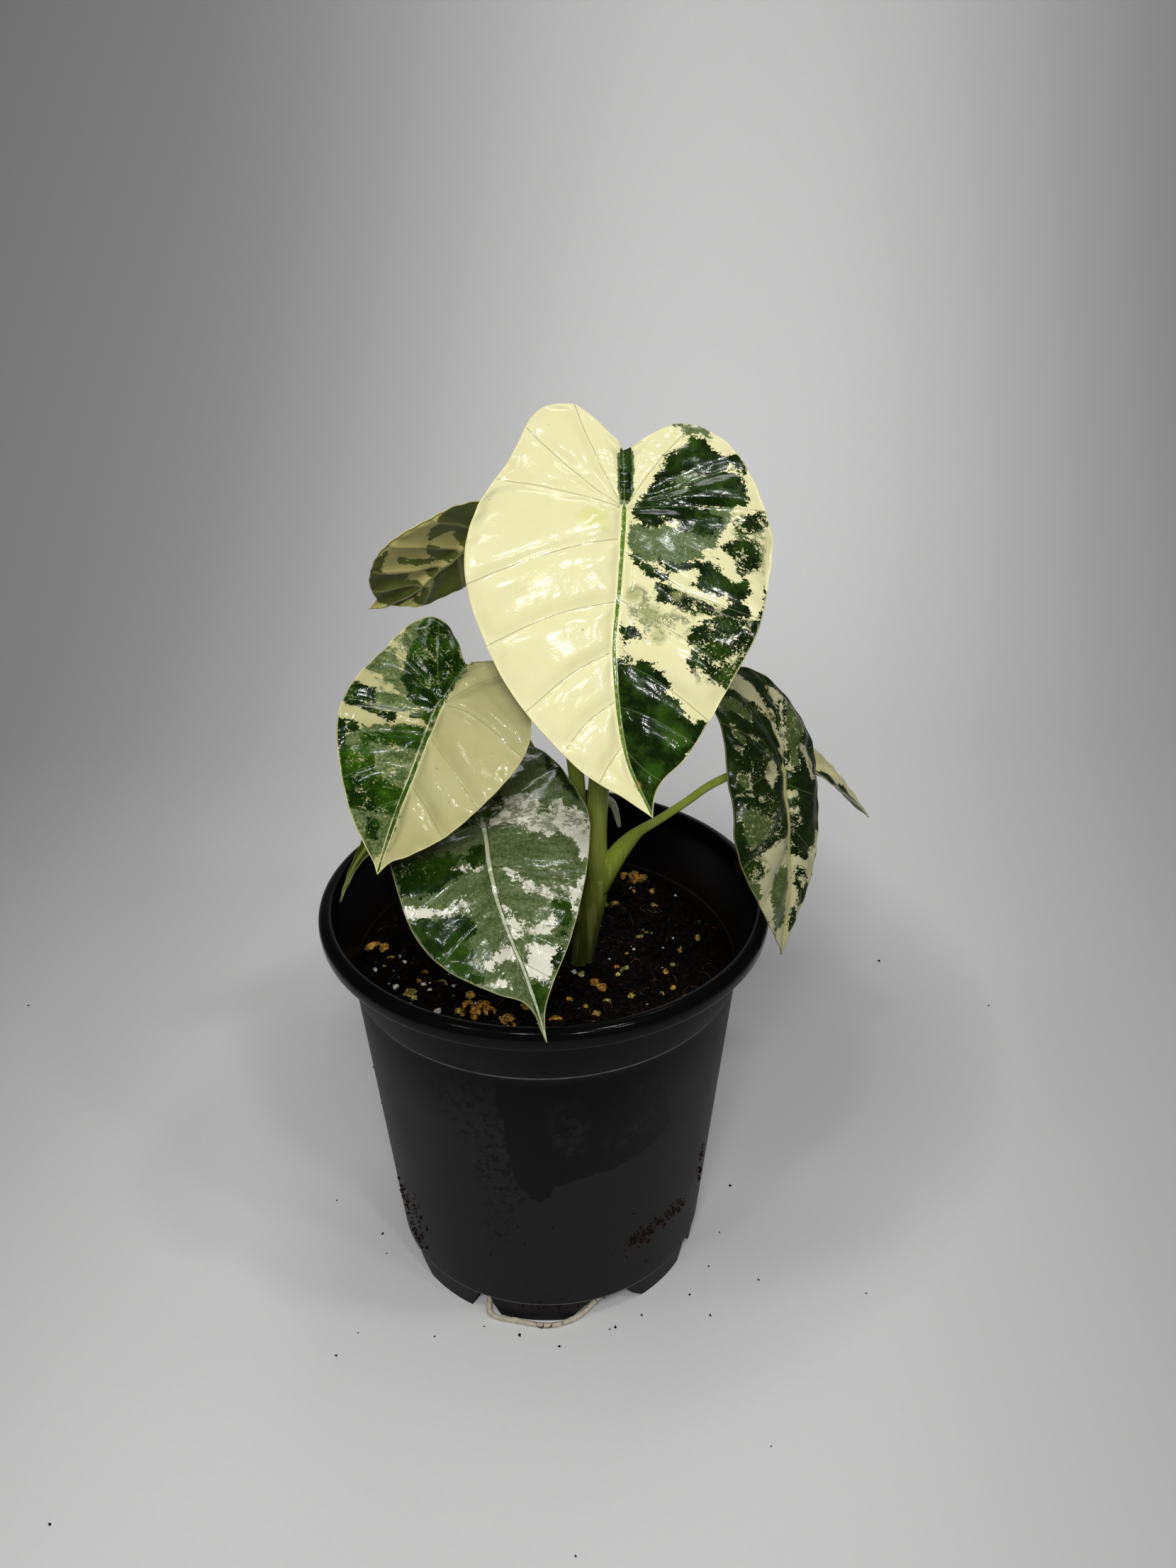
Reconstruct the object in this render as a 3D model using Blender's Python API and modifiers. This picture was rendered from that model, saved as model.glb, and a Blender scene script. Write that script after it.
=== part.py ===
"""A variegated alocasia in its nursery pot.

Metres, +Z up. The foot of the pot stands on z = 0. Lists of points are in millimetres, measured from
the axis of the pot, and MM turns them into metres. The whole plant hangs from one empty, whose place
puts the origin under the middle of the plant's own box.
"""

import math
import random
from dataclasses import dataclass, field

import bmesh
import bpy
import numpy as np
from mathutils import Vector

MM = 0.001

POT_AXIS = (-24.6, 2.6)
CLEARANCE = 0.35

# Pot
POT_SIDES = 48
FLOOR_UNDERSIDE = 10.4
FLOOR_TOP = 11.6
FOOT_INNER_RADIUS = 51.3
FOOT_RADIUS = 59.1
PLASTIC = 1.2
WALL_FOOT = (60.8, 10.6)
WALL_TOP = (71.6, 129.8)
COLLAR_FOOT = (72.2, 131.0)
COLLAR_TOP = (78.6, 149.0)
LIP_TOP = 157.3
LIP_RADIUS = 82.5
NOTCH_TOP = 9.8
NOTCH_INNER_RADIUS = 45.0
NOTCH_OUTER_RADIUS = 70.0
# Each kind of notch: the bearing of the first of its four, its angle at the bottom and at the top
NOTCHES = ((-116.0, 13.0, 4.0), (-69.0, 32.0, 13.0))

# Potting mix
MIX_LEVEL = 126.0
MIX_SLOPE = 0.012
MIX_EDGE_RISE = 0.8
MIX_RINGS = 14
MIX_LUMPS = 150
MIX_LUMP_SPREAD = 72.0
MIX_LUMP_RADIUS = (3.5, 8.0)
MIX_LUMP_HEIGHT = (0.8, 3.2)
MIX_SEED = 7

# Stem
STEM_FOOT = (13.3, 0.0, 103.4)
STEM_RADIUS = 4.9
STEM_HOLE_RADIUS = 5.6
STEM_HOLE_CUTTER = 40.0
PETIOLE_POINTS = 16
PETIOLE_REACH = 3.5

# Blades. Rows of points run from the notch to the tip, closest together at the notch
BLADE_THICKNESS = 0.8
RIB_THICKNESS = 2.2
RIB_TAPER = 0.85
QUILT = 0.8
VEIN_ROWS = 2
CUP_REACH = 30.0
DROOP_REACH = 15.0
JOINT_SHARE = 0.45
NOTCH_CROWDING = 1.6
TIP_CROWDING = 1.3
ACROSS = (0.0, 0.07, 0.3, 0.55, 0.8, 1.0)


@dataclass
class Blade:
    """A heart-shaped blade: a plan outline bent to a height over the plane of its joint and tip.

    In the plan, y runs from the joint to the tip and x to the side of `left`; the lobes have y < 0.
    Both margins and the rib start at the notch between the lobes and end at the tip.
    """

    joint: tuple
    tip: tuple
    roll: float
    fold: tuple
    cup: tuple
    arch: float
    rib: list
    left: list
    right: list
    colour: tuple
    waves: list = field(default_factory=list)
    droop: tuple = (0, 0)
    rows: int = 20

    def __post_init__(self):
        self.origin = Vector(self.joint)
        along = Vector(self.tip) - self.origin
        self.length = along.length
        self.along = along / self.length
        upright = (Vector((0, 0, 1)) - self.along * self.along.z).normalized()
        sideways = self.along.cross(upright)
        turn = math.radians(self.roll)
        self.up = math.cos(turn) * upright + math.sin(turn) * sideways
        self.side = self.along.cross(self.up)
        self.rib_curve = smooth(self.rib, 200)
        self.margins = {1: smooth(self.left, 400), -1: smooth(self.right, 400)}
        self.joint_row = round(JOINT_SHARE * self.rows)

    def rib_place(self, row):
        """The rib's point at a row: rows fan out from the stretch between notch and joint."""
        places = np.linspace(0, 1, len(self.rib_curve))
        at_joint = np.interp(0, self.rib_curve[:, 1], places)
        if row <= self.joint_row:
            place = at_joint * (row / self.joint_row) ** NOTCH_CROWDING
        else:
            past = (row - self.joint_row) / (self.rows - self.joint_row)
            place = at_joint + (1 - at_joint) * past**TIP_CROWDING
        return np.array([np.interp(place, places, self.rib_curve[:, k]) for k in (0, 1)])

    def margin_place(self, row, hand):
        margin = self.margins[hand]
        places = np.linspace(0, 1, len(margin))
        return np.array([np.interp(row / self.rows, places, margin[:, k]) for k in (0, 1)])

    def height(self, x, y, row, across, hand):
        """The blade's height over its plane: fold and cup across it, arch along it, waves and quilting."""
        half = 0 if hand > 0 else 1
        distance = hand * (x - np.interp(y, self.rib_curve[:, 1], self.rib_curve[:, 0]))
        q = y / self.length
        reach = distance / CUP_REACH
        height = self.fold[half] * distance - self.cup[half] * reach * abs(reach)
        height += self.arch * 4 * q * (1 - q)
        height -= self.droop[half] * (max(0, self.rib[0][1] - y) / DROOP_REACH) ** 2
        for side, rise, centre, width in self.waves:
            if side == hand:
                height += rise * reach**2 * math.exp(-(((y - centre) / width) ** 2))
        panel = math.sin(math.pi * (row - self.joint_row) / VEIN_ROWS) ** 2
        return height + QUILT * panel * 4 * across * (1 - across)

    def place(self, row, across, hand):
        """The point of the blade's upper face, from the rib (across = 0) to a margin (across = 1)."""
        rib = self.rib_place(row)
        x, y = rib + (self.margin_place(row, hand) - rib) * across
        height = self.height(x, y, row, across, hand)
        return self.origin + self.along * y + self.side * x + self.up * height

    def rib_weight(self, row):
        """How much of the rib's full thickness it has at a row."""
        if row <= self.joint_row:
            return (row / self.joint_row) ** 2
        return 1 - RIB_TAPER * (row - self.joint_row) / (self.rows - self.joint_row)

    def seat(self):
        """Where the petiole ends under the joint, and the direction in which it arrives there."""
        ahead = self.place(self.joint_row + 1, 0, 1) - self.place(self.joint_row - 1, 0, 1)
        normal = self.side.cross(ahead.normalized()).normalized()
        return self.origin - normal * (RIB_THICKNESS + CLEARANCE), normal


BLADES = {}


def describe_blades():
    """The seven blades, each as the plant holds it."""
    BLADES["leaf_top"] = Blade(
        joint=(27.8, -5.0, 304.2), tip=(33.4, -66.0, 226.7), roll=0,
        fold=(0.16, 0.16), cup=(3, 3), arch=4, rows=24, colour=(0.76, 0.75, 0.46),
        rib=[(-2, -21), (0, 0), (4, 25), (8, 50), (7, 79), (0, 99)],
        left=[(-2, -21), (4, -31), (13, -39), (25, -36), (34, -21), (46, -4), (52, 20), (47, 43),
              (37, 64), (22, 83), (8, 93), (0, 99)],
        right=[(-2, -21), (-8, -23), (-17, -29), (-28, -28), (-39, -17), (-46, 5), (-47, 17),
               (-38, 42), (-27, 60), (-13, 80), (-4, 88), (-1, 93), (0, 99)],
        waves=[(1, -2, -12, 12), (1, 2.5, 18, 14), (1, -2, 60, 14),
               (-1, -2.5, 20, 14), (-1, 2, 48, 12), (-1, -2.5, 72, 12)],
    )
    BLADES["leaf_left"] = Blade(
        joint=(-31.4, -32.0, 250.6), tip=(-51.2, -68.0, 209.9), roll=-14,
        fold=(0.25, 0.2), cup=(2.5, 2.5), arch=4, colour=(0.5, 0.5, 0.27),
        rib=[(-1.5, -16), (0, 0), (-0.5, 23), (0, 40), (0, 58)],
        left=[(-1.5, -16), (5, -24), (13, -29.5), (20, -25), (26, -7), (28, 10), (23, 26), (14, 42),
              (6, 51), (2, 55), (0, 58)],
        right=[(-1.5, -16), (-5, -17), (-12, -20), (-22, -14), (-30, -2), (-32, 9), (-28, 24),
               (-19, 40), (-9, 49.5), (-3, 53.5), (0, 58)],
        waves=[(1, -3, -12, 9), (1, 2.5, 22, 10), (-1, -2, 12, 12)],
    )
    BLADES["leaf_front"] = Blade(
        joint=(-20.0, -32.0, 206.2), tip=(-0.2, -88.0, 158.2), roll=0,
        fold=(0.16, 0.16), cup=(2.5, 2.5), arch=4, rows=22, colour=(0.12, 0.17, 0.09),
        rib=[(0, -17), (0, 0), (2.5, 17), (3.5, 34), (1, 56), (0, 76)],
        left=[(0, -17), (4, -26), (12, -33), (21, -31), (30, -20), (34, -5), (34.5, 15), (33, 33),
              (26, 47), (14, 57), (5, 62), (2, 66), (1, 71), (0, 76)],
        right=[(0, -17), (-4, -26), (-12, -33), (-21, -31), (-31, -20), (-36, -4), (-35, 8),
               (-25, 30), (-16, 46), (-7, 58), (-2.5, 65), (-0.8, 70), (0, 76)],
        waves=[(1, 2, 5, 10), (1, -2, 40, 12), (-1, -2, -5, 12), (-1, 2, 28, 10)],
    )
    BLADES["leaf_right"] = Blade(
        joint=(85.6, 0.0, 207.1), tip=(83.5, -30.0, 148.5), roll=-50,
        fold=(0.2, 0.3), cup=(12, 11), arch=5, colour=(0.07, 0.12, 0.05),
        rib=[(-2, -20), (-1.5, -9), (0, 0), (2.5, 12), (3, 25), (2, 51), (0, 66)],
        left=[(-2, -20), (1.8, -24.5), (6, -30), (9, -35), (15, -37), (22, -32), (26, -20), (27, -2),
              (29, 14), (30, 24), (26, 37), (16, 51), (7, 60), (2, 64), (0, 66)],
        right=[(-2, -20), (0.5, -25), (3.5, -30), (4, -34), (-1, -36.5), (-10, -33), (-17, -21),
               (-22, -8), (-19, 3), (-15, 14), (-10, 32), (-5, 46), (-1, 58), (0, 66)],
        waves=[(1, 2, -14, 8), (1, -2, 5, 8), (-1, -2, 0, 12)], droop=(0, 2),
    )
    BLADES["leaf_back"] = Blade(
        joint=(-19.7, 45.0, 283.6), tip=(-62.3, 52.0, 249.7), roll=40,
        fold=(-0.1, -0.1), cup=(0, 0), arch=2, colour=(0.16, 0.17, 0.05),
        rib=[(0, -11), (0, 0), (6, 12), (9, 25), (9.5, 40), (6, 49), (0, 55)],
        left=[(0, -11), (5, -14), (12, -14), (20, -9), (26, 4), (29, 18), (28.5, 29), (25.5, 37),
              (20.5, 45.5), (12, 49), (5, 51.5), (0, 55)],
        right=[(0, -11), (-4, -14), (-10, -13.5), (-18, -10.5), (-23, -4), (-25, 5), (-28, 18),
               (-26, 29), (-17, 40.5), (-8, 46.5), (-1.5, 49.8), (0, 55)],
    )
    BLADES["leaf_behind_right"] = Blade(
        joint=(89.3, 45.0, 199.6), tip=(130.9, 50.0, 157.4), roll=5,
        fold=(0.12, 0.1), cup=(2, 2), arch=2, rows=16, colour=(0.55, 0.52, 0.25),
        rib=[(0, -14), (0, 0), (0, 30), (0, 59.5)],
        left=[(0, -14), (4, -18), (10, -19), (15, -12), (17, 0), (17, 14), (14, 30), (8, 45),
              (2, 55), (0, 59.5)],
        right=[(0, -14), (-4, -18), (-9, -18), (-13, -12), (-14, 0), (-14, 12), (-12.5, 26),
               (-9.5, 41), (-3.5, 53), (0, 59.5)],
    )
    BLADES["leaf_low_left"] = Blade(
        joint=(-40.0, 0.0, 212.0), tip=(-71.5, -22.0, 170.0), roll=-10,
        fold=(0.2, 0.2), cup=(2, 2), arch=4, rows=16, colour=(0.2, 0.22, 0.06),
        rib=[(0, -12), (0, 0), (1, 20), (0.5, 36), (0.7, 46), (0, 57)],
        left=[(0, -12), (3, -15), (8, -15), (12, -8), (13, 3), (10, 16), (5.5, 28), (2.6, 36),
              (1.8, 46), (0, 57)],
        right=[(0, -12), (-3, -15), (-8, -15), (-12, -8), (-14, 3), (-12.5, 16), (-8, 28),
               (-3, 38), (-0.3, 46), (0, 57)],
    )


# Each petiole's way from the stem to under its blade: x, y, z and radius
PETIOLES = {
    "leaf_top": [(20, 0, 158, 3.9), (19, 0, 181, 3.9), (20, 1, 202, 3.7), (22, 6, 229, 2.9),
                 (25, 10, 259, 2.4), (27, 8.5, 284, 2.0), (27.6, 5, 294, 1.8)],
    "leaf_back": [(17, 3, 158, 3.2), (13, 6, 186, 3.1), (12, 8, 204, 2.8), (7, 20, 228, 2.2),
                  (-5, 34, 255, 1.9), (-13, 41, 272, 1.7)],
    "leaf_right": [(20, 0, 160, 3.9), (26, 0, 172, 3.7), (31, 0, 179, 2.8), (35, 0, 183, 1.9),
                   (42, 1, 187, 1.6), (51, 2, 193, 1.5), (61, 3, 200, 1.5), (74, 4, 205, 1.5)],
    "leaf_behind_right": [(19, 4, 170, 2.4), (20, 8, 200, 2.2), (30, 18, 220, 1.9),
                          (49, 31, 231, 1.7), (63, 38.5, 230, 1.6), (71, 42.5, 223, 1.6),
                          (71.8, 43.2, 212.5, 1.6), (75, 43.8, 204.8, 1.6), (80.5, 44.5, 199, 1.5)],
    "leaf_left": [(12, 0, 146, 2.9), (5, 6, 187, 2.4), (-6, 9, 216, 2.0), (-17, 2, 236, 1.8),
                  (-26, -14, 243, 1.8)],
    "leaf_front": [(12, 0, 146, 2.9), (4, -4, 175, 2.3), (-8, -12, 192, 2.0)],
    "leaf_low_left": [(12, 0, 146, 2.6), (-2, 8, 180, 2.0), (-18, 12, 200, 1.7),
                      (-30, 10, 207, 1.5)],
}
STEM_ROUTE = [STEM_FOOT + (STEM_RADIUS,), (13.3, 0, 126, STEM_RADIUS), (15.5, 0, 141, 4.9),
              (18, 0, 153, 4.6), (20, 0, 164, 4.0)]
SHEATH_ROUTE = [(20, 4, 172, 1.9), (21, 9, 185, 1.9), (23.5, 10.5, 189.5, 1.8), (26, 10.5, 187, 1.6),
                (28, 10, 179, 0.9)]

# The root that has grown out under the pot: radius from the pot's axis, bearing, height
ROOT_RADIUS = 1.0
ROOT_ROUTE = [(55.5, -116, 11.55), (55.5, -116, 7), (57.5, -115.5, 3.4), (60.6, -114, 1.7),
              (61.6, -110, 1.15), (61.2, -104, 1.1), (61.8, -98, 1.1), (62.4, -93, 1.1),
              (61.6, -87, 1.2), (59.6, -80, 2.4), (57, -73, 6), (56.3, -71, 9), (56.2, -70.5, 11.55)]


def smooth(points, count):
    """`count` points, evenly spaced along a Catmull-Rom curve through `points`."""
    knots = np.array(points, float)
    ends = np.vstack([2 * knots[0] - knots[1], knots, 2 * knots[-1] - knots[-2]])
    steps = np.linspace(0, 1, 40, endpoint=False)[:, None]
    pieces = []
    for before, start, stop, after in zip(ends, ends[1:], ends[2:], ends[3:]):
        cubic = 3 * start - before - 3 * stop + after
        square = 2 * before - 5 * start + 4 * stop - after
        pieces.append(start + 0.5 * ((stop - before) * steps + square * steps**2 + cubic * steps**3))
    curve = np.vstack(pieces + [knots[-1:]])
    gone = np.linalg.norm(np.diff(curve[:, :3], axis=0), axis=1)
    travelled = np.concatenate([[0], np.cumsum(gone)])
    wanted = np.linspace(0, travelled[-1], count)
    return np.stack([np.interp(wanted, travelled, column) for column in curve.T], axis=1)


def polar(radius, bearing, height=0.0):
    turn = math.radians(bearing)
    return (radius * math.cos(turn), radius * math.sin(turn), height)


def clear_scene():
    for item in list(bpy.data.objects):
        bpy.data.objects.remove(item)


def material(name, colour, roughness):
    made = bpy.data.materials.new(name)
    made.use_nodes = True
    shader = made.node_tree.nodes["Principled BSDF"]
    shader.inputs["Base Color"].default_value = (*colour, 1)
    shader.inputs["Roughness"].default_value = roughness
    shader.inputs["Metallic"].default_value = 0
    return made


def add(name, mesh, collection, parent=None, finish=None):
    """Puts a mesh in the scene as a named object that hangs from `parent`."""
    made = bpy.data.objects.new(name, mesh)
    collection.objects.link(made)
    made.parent = parent
    if finish:
        mesh.materials.clear()
        mesh.materials.append(finish)
        mesh.shade_smooth()
        mesh.set_sharp_from_angle(angle=math.radians(40))
    return made


def settled_mesh(made):
    """The object's mesh as its modifiers leave it, with its loose seams welded."""
    bpy.context.view_layer.update()
    graph = bpy.context.evaluated_depsgraph_get()
    mesh = bpy.data.meshes.new_from_object(made.evaluated_get(graph))
    work = bmesh.new()
    work.from_mesh(mesh)
    bmesh.ops.remove_doubles(work, verts=work.verts, dist=1e-6)
    bmesh.ops.recalc_face_normals(work, faces=work.faces)
    work.to_mesh(mesh)
    work.free()
    return mesh


def profile_mesh(name, profile):
    mesh = bpy.data.meshes.new(name)
    points = [(radius * MM, 0, height * MM) for radius, height in profile]
    mesh.from_pydata(points, [(i, i + 1) for i in range(len(points) - 1)], [])
    return mesh


def turn_profile(made, sides):
    """Turns the object's profile round the pot's axis."""
    screw = made.modifiers.new("turn", "SCREW")
    screw.steps = screw.render_steps = sides
    screw.use_merge_vertices = True
    screw.merge_threshold = 1e-5
    screw.use_smooth_shade = True


def cut(made, collection):
    """Cuts every object of the collection out of `made`."""
    boolean = made.modifiers.new("cut", "BOOLEAN")
    boolean.operation = "DIFFERENCE"
    boolean.operand_type = "COLLECTION"
    boolean.collection = collection
    boolean.solver = "EXACT"


def pot_profile():
    """From the middle of the floor up the inside, over the rolled lip, down the outside, under the floor."""
    foot_well = FOOT_INNER_RADIUS + PLASTIC
    lip_inside = COLLAR_TOP[0] - PLASTIC
    return [
        (0, FLOOR_TOP),
        (foot_well, FLOOR_TOP),
        (foot_well, PLASTIC),
        (FOOT_RADIUS - 1.1, PLASTIC),
        (WALL_FOOT[0] - 1.9, 9.8),
        (WALL_FOOT[0] - PLASTIC, WALL_FOOT[1] + 0.2),
        (WALL_TOP[0] - PLASTIC, WALL_TOP[1] - 0.2),
        (COLLAR_FOOT[0] - PLASTIC, COLLAR_FOOT[1] + 0.2),
        (lip_inside, COLLAR_TOP[1]),
        (lip_inside, LIP_TOP - 2),
        (lip_inside + 0.4, LIP_TOP - 0.3),
        (LIP_RADIUS - 2.9, LIP_TOP),
        (LIP_RADIUS - 1.3, LIP_TOP - 0.7),
        (LIP_RADIUS - 0.3, LIP_TOP - 1.9),
        (LIP_RADIUS, LIP_TOP - 3.5),
        (LIP_RADIUS - 0.2, LIP_TOP - 6.1),
        (LIP_RADIUS - 0.6, LIP_TOP - 6.9),
        (LIP_RADIUS - 1.2, LIP_TOP - 6.7),
        (LIP_RADIUS - 1.3, LIP_TOP - 3.7),
        (LIP_RADIUS - 2.3, LIP_TOP - 2.4),
        (LIP_RADIUS - 3.5, LIP_TOP - 2.7),
        COLLAR_TOP,
        COLLAR_FOOT,
        WALL_TOP,
        WALL_FOOT,
        (FOOT_RADIUS + 1, 10),
        (FOOT_RADIUS, 0),
        (FOOT_INNER_RADIUS, 0),
        (FOOT_INNER_RADIUS, FLOOR_UNDERSIDE),
        (0, FLOOR_UNDERSIDE),
    ]


def notch_cutter(collection, bearing, bottom_angle, top_angle):
    """A wedge that opens the foot of the pot, wide at the table and narrow at the top."""
    work = bmesh.new()
    bmesh.ops.create_cube(work, size=2)
    for corner in work.verts:
        radius = NOTCH_OUTER_RADIUS if corner.co.x > 0 else NOTCH_INNER_RADIUS
        angle = top_angle if corner.co.z > 0 else bottom_angle
        height = NOTCH_TOP if corner.co.z > 0 else -1.0
        corner.co = Vector(polar(radius, bearing + corner.co.y * angle / 2, height)) * MM
    mesh = bpy.data.meshes.new("notch")
    work.to_mesh(mesh)
    work.free()
    return add("notch", mesh, collection)


def hide_helper(made):
    made.hide_render = True
    made.display_type = "WIRE"


def make_pot(collection, cutters, parent):
    made = add("pot", profile_mesh("pot", pot_profile()), collection, parent,
               material("pot_plastic", (0.012, 0.012, 0.013), 0.32))
    turn_profile(made, POT_SIDES)
    notches = bpy.data.collections.new("notches")
    cutters.children.link(notches)
    for first, bottom_angle, top_angle in NOTCHES:
        for quarter in range(4):
            cutter = notch_cutter(notches, first + 90 * quarter, bottom_angle, top_angle)
            cutter.parent = parent
            hide_helper(cutter)
    cut(made, notches)


def mix_radius(height):
    """How far the potting mix reaches at a height, just clear of the pot's wall."""
    low = (WALL_FOOT[0] - PLASTIC, WALL_FOOT[1] + 0.2)
    high = (WALL_TOP[0] - PLASTIC, WALL_TOP[1] - 0.2)
    slope = (high[0] - low[0]) / (high[1] - low[1])
    return low[0] + slope * (height - low[1]) - CLEARANCE


def mix_lumps():
    """Chunks of bark and pumice that show at the surface: place, radius and height."""
    draw = random.Random(MIX_SEED)
    lumps = []
    for _ in range(MIX_LUMPS):
        place = polar(MIX_LUMP_SPREAD * math.sqrt(draw.random()), draw.uniform(0, 360))
        lumps.append((place[0], place[1], draw.uniform(*MIX_LUMP_RADIUS),
                      draw.uniform(*MIX_LUMP_HEIGHT)))
    return lumps


def mix_level(x, y, lumps):
    """The height of the surface: the highest lump there, over a gentle slope."""
    level = MIX_LEVEL + MIX_SLOPE * y
    rise = 0.0
    for lump_x, lump_y, radius, height in lumps:
        reach = math.hypot(x - lump_x, y - lump_y) / radius
        if reach < 1:
            rise = max(rise, height * (1 - reach**2) ** 0.7)
    return level + rise


def make_mix(collection, cutters, parent):
    foot = FLOOR_TOP + CLEARANCE
    top = mix_radius(MIX_LEVEL)
    profile = [(top * ring / MIX_RINGS, MIX_LEVEL) for ring in range(MIX_RINGS + 1)]
    profile += [(mix_radius(foot), foot), (0, foot)]
    turned = add("turned_mix", profile_mesh("potting_mix", profile), collection)
    turn_profile(turned, POT_SIDES)
    mesh = settled_mesh(turned)
    bpy.data.objects.remove(turned)
    lumps = mix_lumps()
    for corner in mesh.vertices:
        if corner.co.z < MIX_LEVEL * MM - 1e-5:
            continue
        x, y = corner.co.x / MM, corner.co.y / MM
        radius = math.hypot(x, y)
        level = mix_level(x, y, lumps)
        if radius > top - 0.1:
            level = min(level, MIX_LEVEL + MIX_EDGE_RISE)
            shrink = mix_radius(level) / radius
            corner.co.x *= shrink
            corner.co.y *= shrink
        corner.co.z = level * MM
    made = add("potting_mix", mesh, collection, parent,
               material("potting_mix", (0.035, 0.026, 0.02), 0.95))
    holes = bpy.data.collections.new("stem_hole")
    cutters.children.link(holes)
    work = bmesh.new()
    bmesh.ops.create_cone(work, cap_ends=True, segments=16, radius1=STEM_HOLE_RADIUS * MM,
                          radius2=STEM_HOLE_RADIUS * MM, depth=STEM_HOLE_CUTTER * MM)
    hole_mesh = bpy.data.meshes.new("stem_hole")
    work.to_mesh(hole_mesh)
    work.free()
    hole = add("stem_hole", hole_mesh, holes, parent)
    middle = STEM_FOOT[2] - CLEARANCE + STEM_HOLE_CUTTER / 2
    hole.location = Vector((STEM_FOOT[0], STEM_FOOT[1], middle)) * MM
    hide_helper(hole)
    cut(made, holes)


def tube(name, points, collection):
    """A closed tube through the points, whose radius at each is its fourth number."""
    curve = bpy.data.curves.new(name, "CURVE")
    curve.dimensions = "3D"
    curve.bevel_depth = MM
    curve.bevel_resolution = 2
    curve.use_fill_caps = True
    line = curve.splines.new("POLY")
    line.points.add(len(points) - 1)
    for point, (x, y, z, radius) in zip(line.points, points):
        point.co = (x * MM, y * MM, z * MM, 1)
        point.radius = radius
    drawn = bpy.data.objects.new(name, curve)
    collection.objects.link(drawn)
    mesh = settled_mesh(drawn)
    bpy.data.objects.remove(drawn)
    return add(name, mesh, collection)


def petiole_points(name):
    """Along the petiole's route, then straight on to its seat under the blade."""
    end, normal = BLADES[name].seat()
    radius = PETIOLES[name][-1][3]
    before = end - normal * PETIOLE_REACH
    bent = smooth(PETIOLES[name] + [(*before, radius)], PETIOLE_POINTS)
    return [*bent, (*end, radius)]


def make_stem(collection, parent):
    """The short stem, its petioles and a dry sheath, joined in one body."""
    branches = bpy.data.collections.new("branches")
    bpy.context.scene.collection.children.link(branches)
    for name in PETIOLES:
        tube("petiole_" + name, petiole_points(name), branches)
    tube("sheath", smooth(SHEATH_ROUTE, 10), branches)
    stem = tube("stem", smooth(STEM_ROUTE, 8), collection)
    union = stem.modifiers.new("join", "BOOLEAN")
    union.operation = "UNION"
    union.operand_type = "COLLECTION"
    union.collection = branches
    union.solver = "MANIFOLD"
    mesh = settled_mesh(stem)
    for item in list(branches.objects) + [stem]:
        bpy.data.objects.remove(item)
    bpy.data.collections.remove(branches)
    add("stem", mesh, collection, parent, material("petiole", (0.09, 0.11, 0.012), 0.38))


def make_blade(name, blade, collection, parent):
    """A grid bent to the blade's form, then given its thickness and its rib."""
    work = bmesh.new()
    rib = work.verts.layers.deform.verify()
    columns = 2 * (len(ACROSS) - 1)
    bmesh.ops.create_grid(work, x_segments=columns, y_segments=blade.rows, size=1)
    for corner in work.verts:
        column = round((corner.co.x + 1) / 2 * columns) - columns // 2
        row = round((corner.co.y + 1) / 2 * blade.rows)
        hand = -1 if column < 0 else 1
        corner.co = blade.place(row, ACROSS[abs(column)], hand) * MM
        corner[rib][0] = blade.rib_weight(row) if column == 0 else 0.0
    bmesh.ops.remove_doubles(work, verts=work.verts, dist=1e-6)
    bmesh.ops.triangulate(work, faces=work.faces, quad_method="FIXED")
    mesh = bpy.data.meshes.new(name)
    work.to_mesh(mesh)
    work.free()
    made = add(name, mesh, collection, parent, material(name, blade.colour, 0.3))
    made.vertex_groups.new(name="rib")
    body = made.modifiers.new("body", "SOLIDIFY")
    body.thickness = RIB_THICKNESS * MM
    body.offset = -1
    body.vertex_group = "rib"
    body.thickness_vertex_group = BLADE_THICKNESS / RIB_THICKNESS
    body.use_even_offset = False


def make_root(collection, parent):
    route = [polar(radius, bearing, height) + (ROOT_RADIUS,) for radius, bearing, height in ROOT_ROUTE]
    drawn = tube("drain_root", smooth(route, 26), collection)
    drawn.parent = parent
    drawn.data.materials.append(material("root", (0.3, 0.24, 0.15), 0.8))
    drawn.data.shade_smooth()


def main():
    clear_scene()
    describe_blades()
    plant = bpy.data.collections.new("potted_alocasia")
    cutters = bpy.data.collections.new("cutters")
    for collection in (plant, cutters):
        bpy.context.scene.collection.children.link(collection)
    stand = bpy.data.objects.new("stand", None)
    stand.location = (POT_AXIS[0] * MM, POT_AXIS[1] * MM, 0)
    plant.objects.link(stand)
    make_pot(plant, cutters, stand)
    make_mix(plant, cutters, stand)
    make_stem(plant, stand)
    for name, blade in BLADES.items():
        make_blade(name, blade, plant, stand)
    make_root(plant, stand)


if __name__ == "__main__":
    main()
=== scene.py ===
"""Looks of a variegated alocasia in its nursery pot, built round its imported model.

Lengths are in millimetres from the axis of the pot, with +Z up and the camera on the -Y side;
`metres` turns them into the frame's metres. Colours are written as sRGB values from 0 to 255.
"""

import math
import random
from dataclasses import dataclass, field

import bmesh
import bpy
import numpy as np
from mathutils import Matrix, Vector, noise


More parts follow.
